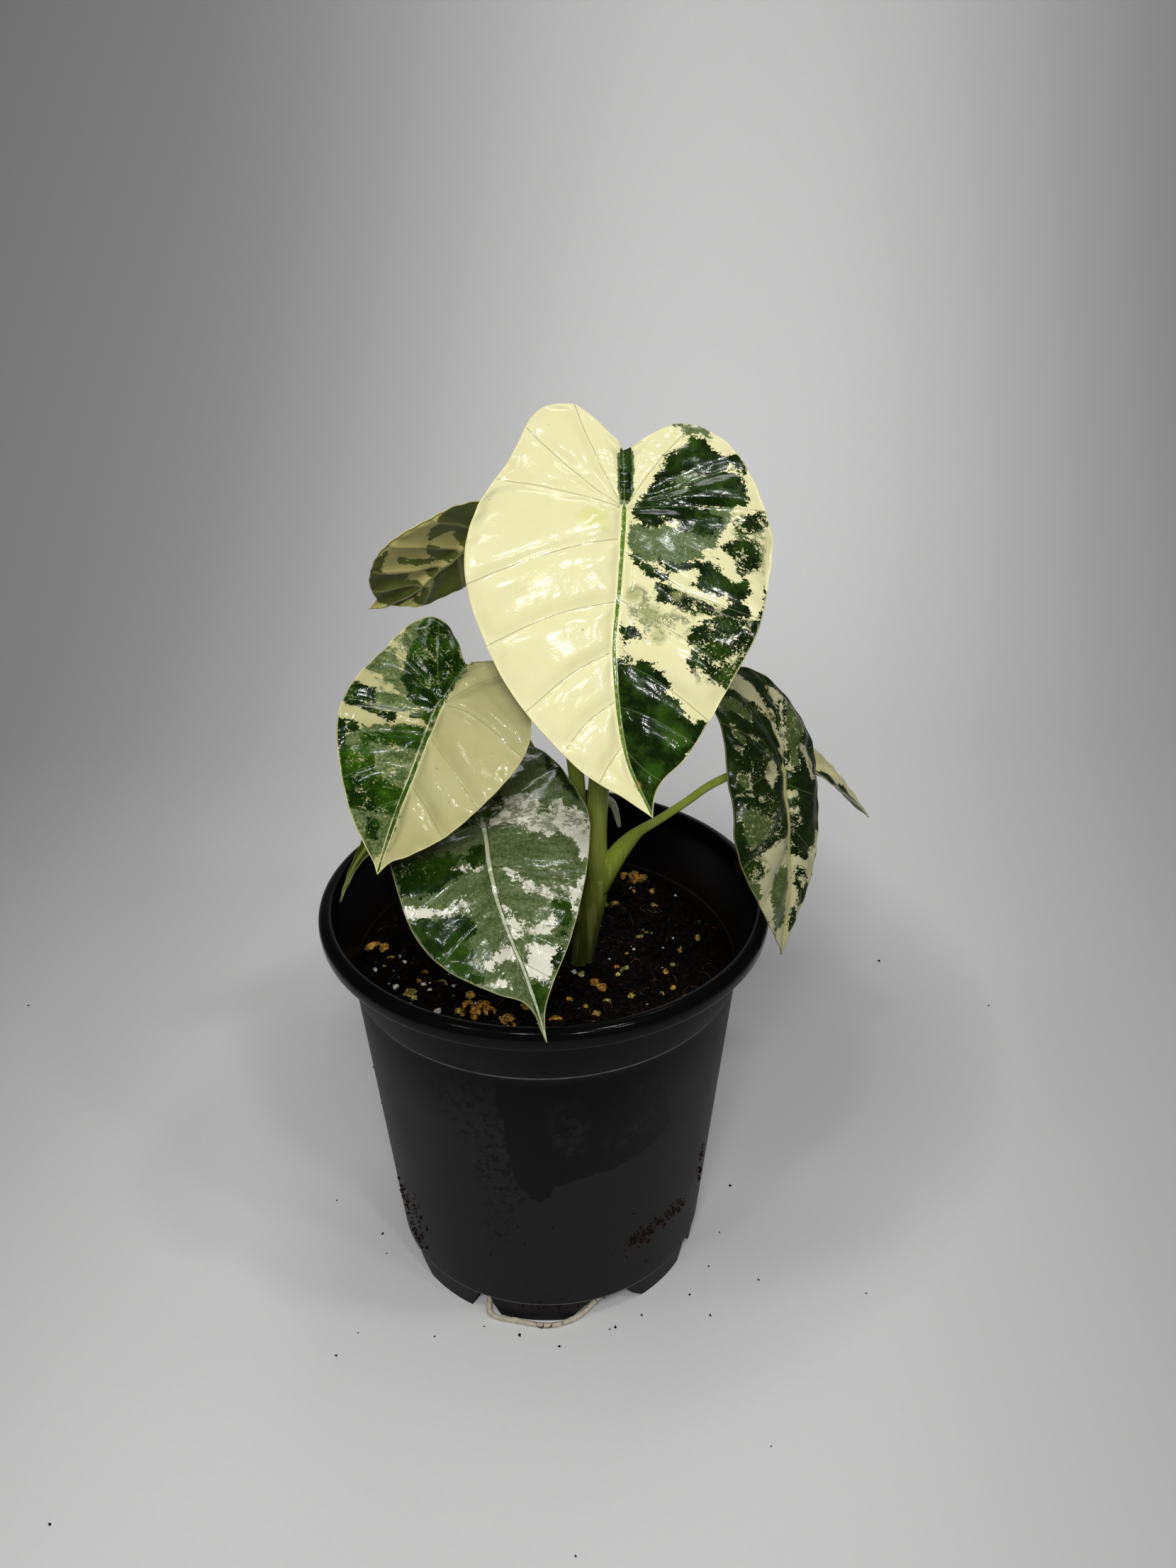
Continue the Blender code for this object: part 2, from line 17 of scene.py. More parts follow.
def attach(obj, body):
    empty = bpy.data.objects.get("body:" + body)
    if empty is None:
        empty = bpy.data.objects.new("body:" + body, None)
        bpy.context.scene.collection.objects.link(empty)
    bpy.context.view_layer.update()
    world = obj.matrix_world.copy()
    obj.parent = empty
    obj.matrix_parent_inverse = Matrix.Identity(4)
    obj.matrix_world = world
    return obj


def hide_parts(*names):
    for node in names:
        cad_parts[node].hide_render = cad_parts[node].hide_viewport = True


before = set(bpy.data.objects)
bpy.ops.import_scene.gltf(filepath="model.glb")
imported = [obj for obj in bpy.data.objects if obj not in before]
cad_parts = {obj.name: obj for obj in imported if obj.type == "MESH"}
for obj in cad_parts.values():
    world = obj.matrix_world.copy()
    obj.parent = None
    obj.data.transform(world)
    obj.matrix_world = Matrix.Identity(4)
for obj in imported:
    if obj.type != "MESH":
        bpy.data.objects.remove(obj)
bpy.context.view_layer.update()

MM = 0.001
POT_AXIS = (-24.6, 2.6)
# Depths and distances that a surface carries for its looks go no further than this
DEEPEST = 9.0

# Camera
IMAGE = (1659, 2212)
FOCAL_PIXELS = 2000.0
SENSOR = 36.0
CAMERA_PLACE = (0.0, -438.53, 443.0)
CAMERA_PITCH = 0.50128
CAMERA_YAW = 0.03676
CAMERA_ROLL = -0.00426

# Studio
SWEEP_HALF_WIDTH = 1500.0
SWEEP_FRONT = -1100.0
SWEEP_BEND = 420.0
SWEEP_RADIUS = 500.0
SWEEP_STEPS = 24
SWEEP_TOP = 1500.0
# Painted shade in the frame: fall-off to both sides of a slanted line, the pot's shadow round a place
# behind it
SWEEP_PAINTED_FALLOFF = (20.0, 500.0)
SWEEP_SLANT = (-0.25, 50.0)
PAINTED_SHADOW_PLACE = (35.0, 120.0, 0.0)
PAINTED_SHADOW_REACH = (265.0, 60.0)
PAINTED_SHADOW_WEIGHT = 0.85
PAPER_TONES = ((221, 221, 221), (226, 226, 225))
PAPER_PAINTED_SHADE = (167, 167, 167)
AMBIENT = 0.08
# Lights: place, the point they face, size and power
SOFT_BOX = ((-60, -760, 800), (0, 0, 100), (260, 220), 2.7)
BACKDROP_LIGHT = ((150, 420, 1150), (150, 760, 60), (420, 220), 1.7)
# Small lamps over the pot, which its gloss and the blades mirror: x, y and power
LAMPS = [(210, -570, 1.0), (290, -240, 0.9), (-120, -360, 0.6), (-420, -260, 0.3), (480, -520, 0.7)]
LAMP_HEIGHT = 1000
LAMP_AIM = (0, 0, 150)
LAMP_SIZE = (64, 64)

# Pot
POT_SIDES = 288
POT_CENTRE = 0.01
PLASTIC = 1.2
FLOOR_UNDERSIDE = 10.4
FLOOR_TOP = 11.6
FOOT_INNER_RADIUS = 51.3
FOOT_RADIUS = 59.1
WALL_FOOT = (60.8, 10.6)
WALL_TOP = (71.6, 129.8)
COLLAR_FOOT = (72.2, 131.0)
COLLAR_TOP = (78.6, 149.0)
LIP_TOP = 157.3
LIP_RADIUS = 82.5
NOTCH_TOP = 9.8
NOTCH_BOTTOM = -1.0
NOTCH_INNER_RADIUS = 45.0
NOTCH_OUTER_RADIUS = 70.0
# Notches in a quarter of the foot: bearing, and the angle that they take at the table and at the top
NOTCHES = ((-116.0, 13.0, 4.0), (-69.0, 32.0, 13.0))
# Painted highlights where the creases round the pot catch the light: height and half width
CREASE_HIGHLIGHTS = ((130.4, 0.75), (10.35, 0.5))
# Heights between which the look changes: a soiled foot, a front shaded by the blades, a shiny lip
SOILED = (40, 12)
SHADED = (96, 134)
SHADED_ASIDE = (66, 34)
LIP_SHEEN = (146, 152)
# Smears on the front of the wall, as millimetres round the wall from its front and height. Wet plastic
# is darker. It is blotched on the left and shows dry marks where it was wiped.
STAIN_RADIUS = 67.0
WET = [[(-17, 127), (-18, 116), (-15, 108), (-16, 98), (-14, 90), (-13, 80), (-9, 73), (-4, 68), (-1, 71),
        (2, 77), (12, 80), (24, 82), (32, 84), (40, 88), (46, 93), (44, 104), (40, 116), (36, 127)]]
BLOTCHED = [[(-43, 121), (-36, 128), (-10, 126), (-10, 86), (-9, 70), (-15, 62), (-22, 62), (-26, 74),
             (-30, 90), (-37, 104)],
            [(-25, 66), (-15, 64), (-18, 44), (-26, 46)]]
SMUDGES = [[(28, 28), (36, 26), (46, 32), (60, 42), (62, 48), (50, 44), (38, 38), (30, 34)]]
WIPED = [[(-2, 118), (8, 122), (14, 108), (12, 92), (6, 90), (0, 100)],
         [(18, 96), (26, 98), (36, 108), (42, 106), (40, 94), (30, 92), (20, 91)],
         [(24, 124), (38, 122), (42, 108), (34, 110), (28, 116)]]

# Potting mix
CLEARANCE = 0.35
MIX_LEVEL = 126.0
MIX_SLOPE = 0.012
MIX_EDGE_RISE = 0.8
MIX_CRUMBLE = 1.1
MIX_CRUMBLE_PITCH = 0.45
MIX_LUMPS = 150
MIX_LUMP_SPREAD = 72.0
MIX_LUMP_RADIUS = (3.5, 8.0)
MIX_LUMP_HEIGHT = (0.8, 3.2)
MIX_SEED = 7
MIX_RINGS = 110
MIX_SIDES = 360
# Where the root ball has a ring between its top and its foot, and the radius at which it closes
MIX_WAIST = 90.0
MIX_CENTRE = 0.02

# Loose bodies on the mix: seed, number, and how far from the pot's axis they lie
CRUMB_SEED, CRUMB_COUNT, CRUMB_REACH = 11, 1500, 67.5
STONE_SEED, STONE_COUNT, STONE_REACH = 23, 60, 65
STONE_GAP = 12
PERLITE_COUNT, PERLITE_REACH = 70, 66
FIBRE_SEED, FIBRE_COUNT, FIBRE_REACH = 31, 150, 64
DIRT_SEED = 41
FLOOR_SEED = 53

# Stem
STEM_FOOT = (13.3, 0.0, 103.4)
STEM_RADIUS = 4.9
PETIOLE_REACH = 3.5
PETIOLE_STEPS = 90
# How far under the joint a petiole ends within the rib, and its radius there as a share
PETIOLE_END = (1.2, 0.9)
# Heights between which stalks turn paler, and between which painted shade darkens them towards the mix
STALK_PALE = (128, 190)
STALK_PAINTED_SHADE = (176, 124)

# Blades
BLADE_THICKNESS = 0.8
EDGE_THICKNESS = 0.32
EDGE_REACH = 3
RIB_THICKNESS = 2.2
RIB_REACH = 1.5
RIB_TAPER = 0.85
# Under every vein: how much thicker the blade is, and how far to each side
VEIN_KEEL = (0.5, 0.7)
# Share of the relief on top that the underside doesn't follow
RELIEF_SHARE = 0.25
RIB_STEPS = 200
MARGIN_STEPS = 400
CUP_REACH = 30.0
DROOP_REACH = 15.0
JOINT_SHARE = 0.45
NOTCH_CROWDING = 1.6
TIP_CROWDING = 1.3
COLUMN_CROWDING = 1.2
# Every blade takes its noise from a layer of its own, this far from the last blade's
PLAN_STEP = 41.0
FLOW_STEP = 17.0
SEED_STEP = 7.3


def metres(points):
    """Points in millimetres from the pot's axis as metres in the frame."""
    return (np.asarray(points, float) + (*POT_AXIS, 0)) * MM


def smooth(points, count):
    """`count` points, evenly spaced along a Catmull-Rom curve through `points`."""
    knots = np.array(points, float)
    ends = np.vstack([2 * knots[0] - knots[1], knots, 2 * knots[-1] - knots[-2]])
    steps = np.linspace(0, 1, 40, endpoint=False)[:, None]
    pieces = []
    for before, start, stop, after in zip(ends, ends[1:], ends[2:], ends[3:]):
        cubic = 3 * start - before - 3 * stop + after
        square = 2 * before - 5 * start + 4 * stop - after
        pieces.append(start + 0.5 * ((stop - before) * steps + square * steps**2 + cubic * steps**3))
    curve = np.vstack(pieces + [knots[-1:]])
    gone = np.linalg.norm(np.diff(curve[:, :3], axis=0), axis=1)
    travelled = np.concatenate([[0], np.cumsum(gone)])
    wanted = np.linspace(0, travelled[-1], count)
    return np.stack([np.interp(wanted, travelled, column) for column in curve.T], axis=1)


def polar(radius, bearing, height=0.0):
    turn = math.radians(bearing)
    return (radius * math.cos(turn), radius * math.sin(turn), height)


def random_place(draw, reach):
    """A random place, x and y, within `reach` of the pot's axis."""
    return polar(reach * math.sqrt(draw.random()), draw.uniform(0, 360))[:2]


def ease(value, low, high):
    """0 below `low`, 1 above `high`, smooth between them."""
    share = np.clip((value - low) / (high - low), 0, 1)
    return share * share * (3 - 2 * share)


def line_gaps(points, starts, edges):
    """Distances from plan points to straight pieces, and their offsets from where the pieces start."""
    offsets = points[:, None] - starts
    share = np.clip((offsets * edges).sum(-1) / (edges**2).sum(-1), 0, 1)
    return np.linalg.norm(offsets - share[..., None] * edges, axis=-1), offsets


def depth_inside(points, outline):
    """How deep the plan points lie inside a closed outline; negative outside it."""
    corners = np.array(outline, float)
    edges = np.roll(corners, -1, axis=0) - corners
    edges[edges[:, 1] == 0, 1] = 1e-9
    gap = line_gaps(points, corners, edges)[0].min(1)
    height = points[:, 1:2]
    spans = (corners[:, 1] > height) != (corners[:, 1] + edges[:, 1] > height)
    left_of = points[:, :1] < corners[:, 0] + edges[:, 0] * (height - corners[:, 1]) / edges[:, 1]
    inside = (spans & left_of).sum(1) % 2 == 1
    return np.where(inside, gap, -gap)


def colour(value):
    """An sRGB colour as the linear one that a shader takes. A node's output stays as it is."""
    if isinstance(value, bpy.types.NodeSocket):
        return value
    shares = [part / 255 for part in value]
    return (*(share / 12.92 if share <= 0.04045 else ((share + 0.055) / 1.055) ** 2.4
              for share in shares), 1)


class Finish:
    """A material and its nodes. An input is a number, a colour or another node's output."""

    def __init__(self, name):
        self.material = bpy.data.materials.new(name)
        self.material.use_nodes = True
        self.tree = self.material.node_tree
        self.shader = self.tree.nodes["Principled BSDF"]

    def feed(self, socket, value):
        if isinstance(value, bpy.types.NodeSocket):
            self.tree.links.new(value, socket)
        else:
            socket.default_value = value

    def make(self, kind, inputs, **settings):
        node = self.tree.nodes.new("ShaderNode" + kind)
        for key, value in settings.items():
            setattr(node, key, value)
        for key, value in inputs.items():
            self.feed(node.inputs[key], value)
        return node

    def attribute(self, name, output="Fac"):
        return self.make("Attribute", {}, attribute_name=name).outputs[output]

    def place(self, scale=(1, 1, 1)):
        """The place in the frame in millimetres, stretched by `scale`."""
        where = self.make("TexCoord", {}).outputs["Object"]
        sizes = tuple(part / MM for part in scale)
        return self.make("Mapping", {"Vector": where, "Scale": sizes}).outputs["Vector"]

    def stretch(self, vector, scale, shift):
        return self.make("Mapping", {"Vector": vector, "Scale": scale, "Location": shift}).outputs["Vector"]

    def noise(self, vector, size, detail=2.0, roughness=0.55, distortion=0.0):
        """Noise whose largest features are about `size` long."""
        inputs = {"Vector": vector, "Scale": 1 / size, "Detail": detail, "Roughness": roughness,
                  "Distortion": distortion}
        return self.make("TexNoise", inputs).outputs["Fac"]

    def cells(self, vector, size, feature="DISTANCE_TO_EDGE"):
        inputs = {"Vector": vector, "Scale": 1 / size}
        return self.make("TexVoronoi", inputs, feature=feature).outputs["Distance"]

    def axis(self, vector, name):
        return self.make("SeparateXYZ", {"Vector": vector}).outputs[name]

    def away(self, vector, place):
        """How far a vector is from a place."""
        return self.make("VectorMath", {0: vector, 1: place}, operation="DISTANCE").outputs["Value"]

    def math(self, operation, first, second=0.0):
        return self.make("Math", {0: first, 1: second}, operation=operation).outputs[0]

    def times(self, first, second):
        return self.math("MULTIPLY", first, second)

    def less(self, first, second):
        return self.math("SUBTRACT", first, second)

    def larger(self, first, second):
        return self.math("MAXIMUM", first, second)

    def absolute(self, value):
        return self.math("ABSOLUTE", value)

    def total(self, *values):
        result = values[0]
        for value in values[1:]:
            result = self.math("ADD", result, value)
        return result

    def weigh(self, *pairs):
        """The sum of values, each times its weight."""
        return self.total(*[self.times(value, weight) for value, weight in pairs])

    def step(self, value, low, high):
        inputs = {"Value": value, "From Min": low, "From Max": high}
        return self.make("MapRange", inputs, interpolation_type="SMOOTHSTEP").outputs["Result"]

    def span(self, value, low, high, out_low, out_high):
        inputs = {"Value": value, "From Min": low, "From Max": high, "To Min": out_low, "To Max": out_high}
        return self.make("MapRange", inputs).outputs["Result"]

    def mix(self, share, first, second):
        """From the first colour to the second one."""
        inputs = {0: share, 6: colour(first), 7: colour(second)}
        return self.make("Mix", inputs, data_type="RGBA").outputs[2]

    def lay(self, tint, shade, share, weight):
        """A shade laid over a tint by `share` times `weight`."""
        return self.mix(self.times(share, weight), tint, shade)

    def blend(self, share, first, second):
        """From the first number to the second one."""
        return self.make("Mix", {0: share, 2: first, 3: second}).outputs[0]

    def bump(self, height, strength, distance):
        inputs = {"Height": height, "Strength": strength, "Distance": distance * MM}
        return self.make("Bump", inputs).outputs["Normal"]

    def shade(self, **inputs):
        names = {"base": "Base Color", "rough": "Roughness", "normal": "Normal", "ior": "IOR",
                 "coat": "Coat Weight", "coat_rough": "Coat Roughness", "specular": "Specular IOR Level",
                 "subsurface": "Subsurface Weight", "radius": "Subsurface Radius",
                 "subsurface_scale": "Subsurface Scale"}
        for key, value in inputs.items():
            self.feed(self.shader.inputs[names[key]], value)
        return self.material


def mark(mesh, name, values):
    """Stores a number or a place for every point of a mesh."""
    flat = values.ndim == 1
    layer = mesh.attributes.new(name, "FLOAT" if flat else "FLOAT_VECTOR", "POINT")
    layer.data.foreach_set("value" if flat else "vector", values.astype(np.float32).ravel())


def add_piece(name, points, faces, finish, attributes=None, weld=0.0):
    """A smooth mesh object from points in millimetres, with its point attributes."""
    mesh = bpy.data.meshes.new(name)
    mesh.from_pydata(metres(points).tolist(), [], [tuple(face) for face in faces])
    for key, values in (attributes or {}).items():
        mark(mesh, key, values)
    if weld:
        work = bmesh.new()
        work.from_mesh(mesh)
        bmesh.ops.remove_doubles(work, verts=work.verts, dist=weld * MM)
        work.to_mesh(mesh)
        work.free()
    mesh.materials.append(finish)
    mesh.shade_smooth()
    made = bpy.data.objects.new(name, mesh)
    bpy.context.scene.collection.objects.link(made)
    return made


def put(made, node=None):
    """Fastens a piece to the plant, in place of a CAD node where one is named."""
    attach(made, "root")
    if node:
        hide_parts(node)


def join(parts):
    """Many bodies, each its points and its faces, as one."""
    points, faces, count = [], [], 0
    for corners, rings in parts:
        points.append(corners)
        faces += [tuple(corner + count for corner in ring) for ring in rings]
        count += len(corners)
    return np.vstack(points), faces


def combine(made, others, operation, solver):
    """Cuts other objects out of a piece, or joins them to it, and removes them."""
    group = bpy.data.collections.new(operation)
    for other in others:
        group.objects.link(other)
    change = made.modifiers.new(operation, "BOOLEAN")
    change.operation = operation
    change.operand_type = "COLLECTION"
    change.collection = group
    change.solver = solver
    bpy.context.view_layer.update()
    graph = bpy.context.evaluated_depsgraph_get()
    mesh = bpy.data.meshes.new_from_object(made.evaluated_get(graph))
    made.modifiers.clear()
    made.data = mesh
    for other in others:
        bpy.data.objects.remove(other)


def grid_faces(rows, columns, wrap=False, flip=False):
    """Quads between neighbouring rows and columns of points."""
    last = columns if wrap else columns - 1
    row, column = np.meshgrid(np.arange(rows - 1), np.arange(last), indexing="ij")
    after = (column + 1) % columns
    corners = [row * columns + column, row * columns + after, (row + 1) * columns + after,
               (row + 1) * columns + column]
    if flip:
        corners.reverse()
    return np.stack(corners, -1).reshape(-1, 4)


# Camera and studio

def camera_turn():
    level = Matrix.Rotation(-CAMERA_YAW, 3, "Z") @ Matrix.Rotation(math.pi / 2 - CAMERA_PITCH, 3, "X")
    return level @ Matrix.Rotation(CAMERA_ROLL, 3, "Z")


def seen_at(pixel, height):
    """The point at a height that the camera sees at a pixel of the photograph."""
    x = (pixel[0] - IMAGE[0] / 2) / FOCAL_PIXELS
    y = (IMAGE[1] / 2 - pixel[1]) / FOCAL_PIXELS
    ray = camera_turn() @ Vector((x, y, -1))
    place = Vector(CAMERA_PLACE)
    return place + ray * ((height - place.z) / ray.z)


def make_camera():
    data = bpy.data.cameras.new("camera")
    data.sensor_width = SENSOR
    data.lens = FOCAL_PIXELS * SENSOR / max(IMAGE)
    data.clip_start = 0.01
    made = bpy.data.objects.new("camera", data)
    made.matrix_world = Matrix.Translation(metres(CAMERA_PLACE)) @ camera_turn().to_4x4()
    bpy.context.scene.collection.objects.link(made)
    bpy.context.scene.camera = made


def make_sweep():
    """A seamless pale paper: floor, bend and back wall."""
    profile = [(SWEEP_FRONT, 0.0)]
    for step in range(SWEEP_STEPS + 1):
        turn = math.radians(90 * step / SWEEP_STEPS)
        profile.append((SWEEP_BEND + SWEEP_RADIUS * math.sin(turn), SWEEP_RADIUS * (1 - math.cos(turn))))
    profile.append((SWEEP_BEND + SWEEP_RADIUS, SWEEP_TOP))
    points = [(x, y, z) for y, z in profile for x in (-SWEEP_HALF_WIDTH, SWEEP_HALF_WIDTH)]
    paper = Finish("paper")
    where = paper.place()
    slant, shift = SWEEP_SLANT
    side = paper.total(paper.axis(where, "X"), paper.times(paper.axis(where, "Y"), slant), shift)
    # Painted shade: the paper darkens towards the sides and round the place behind the pot where its shadow
    # falls
    aside = paper.step(paper.absolute(side), *SWEEP_PAINTED_FALLOFF)
    near = paper.step(paper.away(where, PAINTED_SHADOW_PLACE), *PAINTED_SHADOW_REACH)
    painted_shade = paper.larger(aside, paper.times(near, PAINTED_SHADOW_WEIGHT))
    tint = paper.mix(painted_shade, paper.mix(paper.noise(where, 3.0, detail=4), *PAPER_TONES), PAPER_PAINTED_SHADE)
    finish = paper.shade(base=tint, rough=0.85, specular=0.15)
    made = add_piece("paper", points, grid_faces(len(profile), 2), finish)


def add_light(name, place, aim, size, power, spread=180, mirrored=True):
    """A rectangular lamp; one that isn't mirrored gives light but no highlights."""
    data = bpy.data.lights.new(name, "AREA")
    data.shape = "RECTANGLE"
    data.size, data.size_y = (part * MM for part in size)
    data.energy = power
    data.spread = math.radians(spread)
    made = bpy.data.objects.new(name, data)
    here, there = Vector(metres(place)), Vector(metres(aim))
    turn = (there - here).to_track_quat("-Z", "Y").to_matrix().to_4x4()
    made.matrix_world = Matrix.Translation(here) @ turn
    made.visible_glossy = mirrored
    bpy.context.scene.collection.objects.link(made)


def make_lights():
    world = bpy.data.worlds.new("studio")
    world.use_nodes = True
    world.node_tree.nodes["Background"].inputs["Color"].default_value = (1, 1, 1, 1)
    world.node_tree.nodes["Background"].inputs["Strength"].default_value = AMBIENT
    bpy.context.scene.world = world
    bpy.context.scene.view_settings.view_transform = "Standard"
    add_light("soft_box", *SOFT_BOX, spread=130, mirrored=False)
    add_light("backdrop", *BACKDROP_LIGHT, spread=110)
    for number, (x, y, power) in enumerate(LAMPS):
        add_light(f"lamp_{number}", (x, y, LAMP_HEIGHT), LAMP_AIM, LAMP_SIZE, power)


# Pot

def pot_profile():
    """The pot's section, with its round lip and the small bead at the collar's foot."""
    foot_well = FOOT_INNER_RADIUS + PLASTIC
    lip_inside = COLLAR_TOP[0] - PLASTIC
    lip = smooth([
        (lip_inside, LIP_TOP - 2), (lip_inside + 0.4, LIP_TOP - 0.3), (LIP_RADIUS - 2.9, LIP_TOP),
        (LIP_RADIUS - 1.3, LIP_TOP - 0.7), (LIP_RADIUS - 0.3, LIP_TOP - 1.9), (LIP_RADIUS, LIP_TOP - 3.5),
        (LIP_RADIUS - 0.2, LIP_TOP - 6.1), (LIP_RADIUS - 0.6, LIP_TOP - 6.9),
        (LIP_RADIUS - 1.2, LIP_TOP - 6.7), (LIP_RADIUS - 1.3, LIP_TOP - 3.7),
        (LIP_RADIUS - 2.3, LIP_TOP - 2.4), (LIP_RADIUS - 3.5, LIP_TOP - 2.7)], 46)
    inside = [(POT_CENTRE, FLOOR_TOP), (foot_well, FLOOR_TOP), (foot_well, PLASTIC),
              (FOOT_RADIUS - 1.1, PLASTIC), (WALL_FOOT[0] - 1.9, 9.8),
              (WALL_FOOT[0] - PLASTIC, WALL_FOOT[1] + 0.2),
              (WALL_TOP[0] - PLASTIC, WALL_TOP[1] - 0.2), (COLLAR_FOOT[0] - PLASTIC, COLLAR_FOOT[1] + 0.2),
              (lip_inside, COLLAR_TOP[1])]
    collar = smooth([COLLAR_TOP, (77.4, 145.6), (75.2, 139.0), (73.2, 133.4), (72.5, 131.7),
                     COLLAR_FOOT], 24)
    step = [(72.25, 130.6), (72.0, 130.2), (71.7, 130.0)]
    top, bottom = np.array(WALL_TOP), np.array(WALL_FOOT)
    wall = [tuple(top + (bottom - top) * share) for share in np.linspace(0.01, 0.995, 60)]
    foot = [WALL_FOOT, (60.75, 10.3), (60.5, 10.1), (FOOT_RADIUS + 1, 10), (FOOT_RADIUS + 0.9, 9.5),
            (FOOT_RADIUS + 0.1, 0.6), (FOOT_RADIUS, 0), (FOOT_INNER_RADIUS, 0),
            (FOOT_INNER_RADIUS, FLOOR_UNDERSIDE), (POT_CENTRE, FLOOR_UNDERSIDE)]
    return np.vstack([inside, lip, collar, step, wall, foot])


def pot_finish():
    """Black moulded plastic: faintly dusty, smeared where it was handled wet, painted highlights on its
    creases.
    """
    pot = Finish("pot_plastic")
    where = pot.place()
    height = pot.axis(where, "Z")
    cloud = pot.noise(where, 22.0, detail=4, roughness=0.6)
    blot = pot.noise(where, 3.4, detail=4, roughness=0.6)
    grain = pot.noise(where, 0.7, detail=3)
    edge_noise = pot.span(pot.noise(where, 2.6, 4, 0.6), 0.2, 0.8, -1.3, 1.3)
    wet = pot.step(pot.total(pot.attribute("wet"), edge_noise), -0.2, 0.3)
    blotched = pot.times(pot.step(pot.attribute("blotched"), -2.5, 3.0), pot.step(blot, 0.52, 0.56))
    wiped = pot.times(pot.step(pot.attribute("wiped"), -2.0, 3.0), pot.step(blot, 0.46, 0.58))
    smear = pot.larger(pot.less(wet, pot.times(wiped, 0.6)), blotched)
    lip = pot.step(height, *LIP_SHEEN)
    inner = pot.attribute("inner")
    tint = pot.mix(pot.span(cloud, 0.3, 0.7, 0, 1), (25, 25, 27), (31, 30, 32))
    tint = pot.lay(tint, (4, 3, 4), smear, 0.95)
    tint = pot.lay(tint, (3, 2, 2), lip, 0.9)
    tint = pot.mix(inner, tint, pot.mix(cloud, (9, 7, 6), (22, 17, 13)))
    soiled = pot.times(pot.step(height, *SOILED), pot.step(pot.noise(where, 5.0, 4, 0.7), 0.5, 0.66))
    tint = pot.lay(tint, (24, 17, 13), soiled, 0.4)
    broken = pot.step(pot.noise(where, 1.3, 4, 0.7), 0.5, 0.6)
    reddish = pot.times(pot.step(pot.attribute("smudge"), -1.5, 2.5), broken)
    tint = pot.lay(tint, (48, 27, 21), reddish, 0.5)
    shadow = pot.times(pot.step(height, *SHADED), pot.blend(pot.step(blot, 0.3, 0.7), 0.7, 0.85))
    aside = pot.absolute(pot.total(pot.axis(where, "X"), -POT_AXIS[0]))
    tint = pot.lay(tint, (9, 8, 9), shadow, pot.step(aside, *SHADED_ASIDE))
    # Painted highlights: pale lines along the creases, broken up, and fainter inside the pot
    crease_highlights = 0.0
    for level, width in CREASE_HIGHLIGHTS:
        line = pot.step(pot.absolute(pot.less(height, level)), width, width * 0.3)
        crease_highlights = pot.larger(line, crease_highlights)
    broken = pot.step(pot.noise(where, 9.0, 3), 0.25, 0.6)
    patchy = pot.times(crease_highlights, pot.blend(broken, 0.4, 1.0))
    tint = pot.lay(tint, (116, 112, 108), patchy, pot.blend(inner, 0.75, 0.06))
    rough = pot.total(pot.span(cloud, 0.3, 0.7, 0.42, 0.5), pot.times(smear, -0.08), pot.times(lip, -0.33))
    scratches = pot.noise(pot.place((1, 1, 6)), 9.0, detail=5, roughness=0.7)
    normal = pot.bump(pot.weigh((grain, 0.5), (scratches, 0.6)), 0.25, 0.12)
    gloss = pot.total(pot.span(height, 100, 140, 0.09, 0.04), pot.span(height, 147, 152, 0.0, 0.06))
    return pot.shade(base=tint, rough=rough, normal=normal, specular=gloss)


def make_pot():
    profile = pot_profile()
    angles = np.linspace(0, 2 * math.pi, POT_SIDES, endpoint=False)
    points = np.stack([np.outer(profile[:, 0], np.cos(angles)), np.outer(profile[:, 0], np.sin(angles)),
                       np.repeat(profile[:, 1:], POT_SIDES, axis=1)], -1).reshape(-1, 3)
    made = add_piece("nursery_pot", points, grid_faces(len(profile), POT_SIDES, wrap=True, flip=True),
                     pot_finish())
    closed = bmesh.new()
    closed.from_mesh(made.data)
    bmesh.ops.holes_fill(closed, edges=closed.edges)
    bmesh.ops.recalc_face_normals(closed, faces=closed.faces)
    closed.to_mesh(made.data)
    closed.free()
    cutters = [notch_cutter(first + 90 * quarter, bottom_angle, top_angle)
               for first, bottom_angle, top_angle in NOTCHES for quarter in range(4)]
    combine(made, cutters, "DIFFERENCE", "EXACT")
    mark_wall(made.data)
    made.data.set_sharp_from_angle(angle=math.radians(50))
    put(made, "pot")


def notch_cutter(bearing, bottom_angle, top_angle):
    """A wedge that opens the foot of the pot, wide at the table and narrow at the top."""
    work = bmesh.new()
    bmesh.ops.create_cube(work, size=2)
    for corner in work.verts:
        radius = NOTCH_OUTER_RADIUS if corner.co.x > 0 else NOTCH_INNER_RADIUS
        angle = top_angle if corner.co.z > 0 else bottom_angle
        height = NOTCH_TOP if corner.co.z > 0 else NOTCH_BOTTOM
        corner.co = metres(polar(radius, bearing + corner.co.y * angle / 2, height))
    mesh = bpy.data.meshes.new("notch")
    work.to_mesh(mesh)
    work.free()
    return bpy.data.objects.new("notch", mesh)


def wall_radius(height):
    """The outer radius of the pot's tapered wall at a height."""
    slope = (WALL_TOP[0] - WALL_FOOT[0]) / (WALL_TOP[1] - WALL_FOOT[1])
    return WALL_FOOT[0] + slope * (height - WALL_FOOT[1])


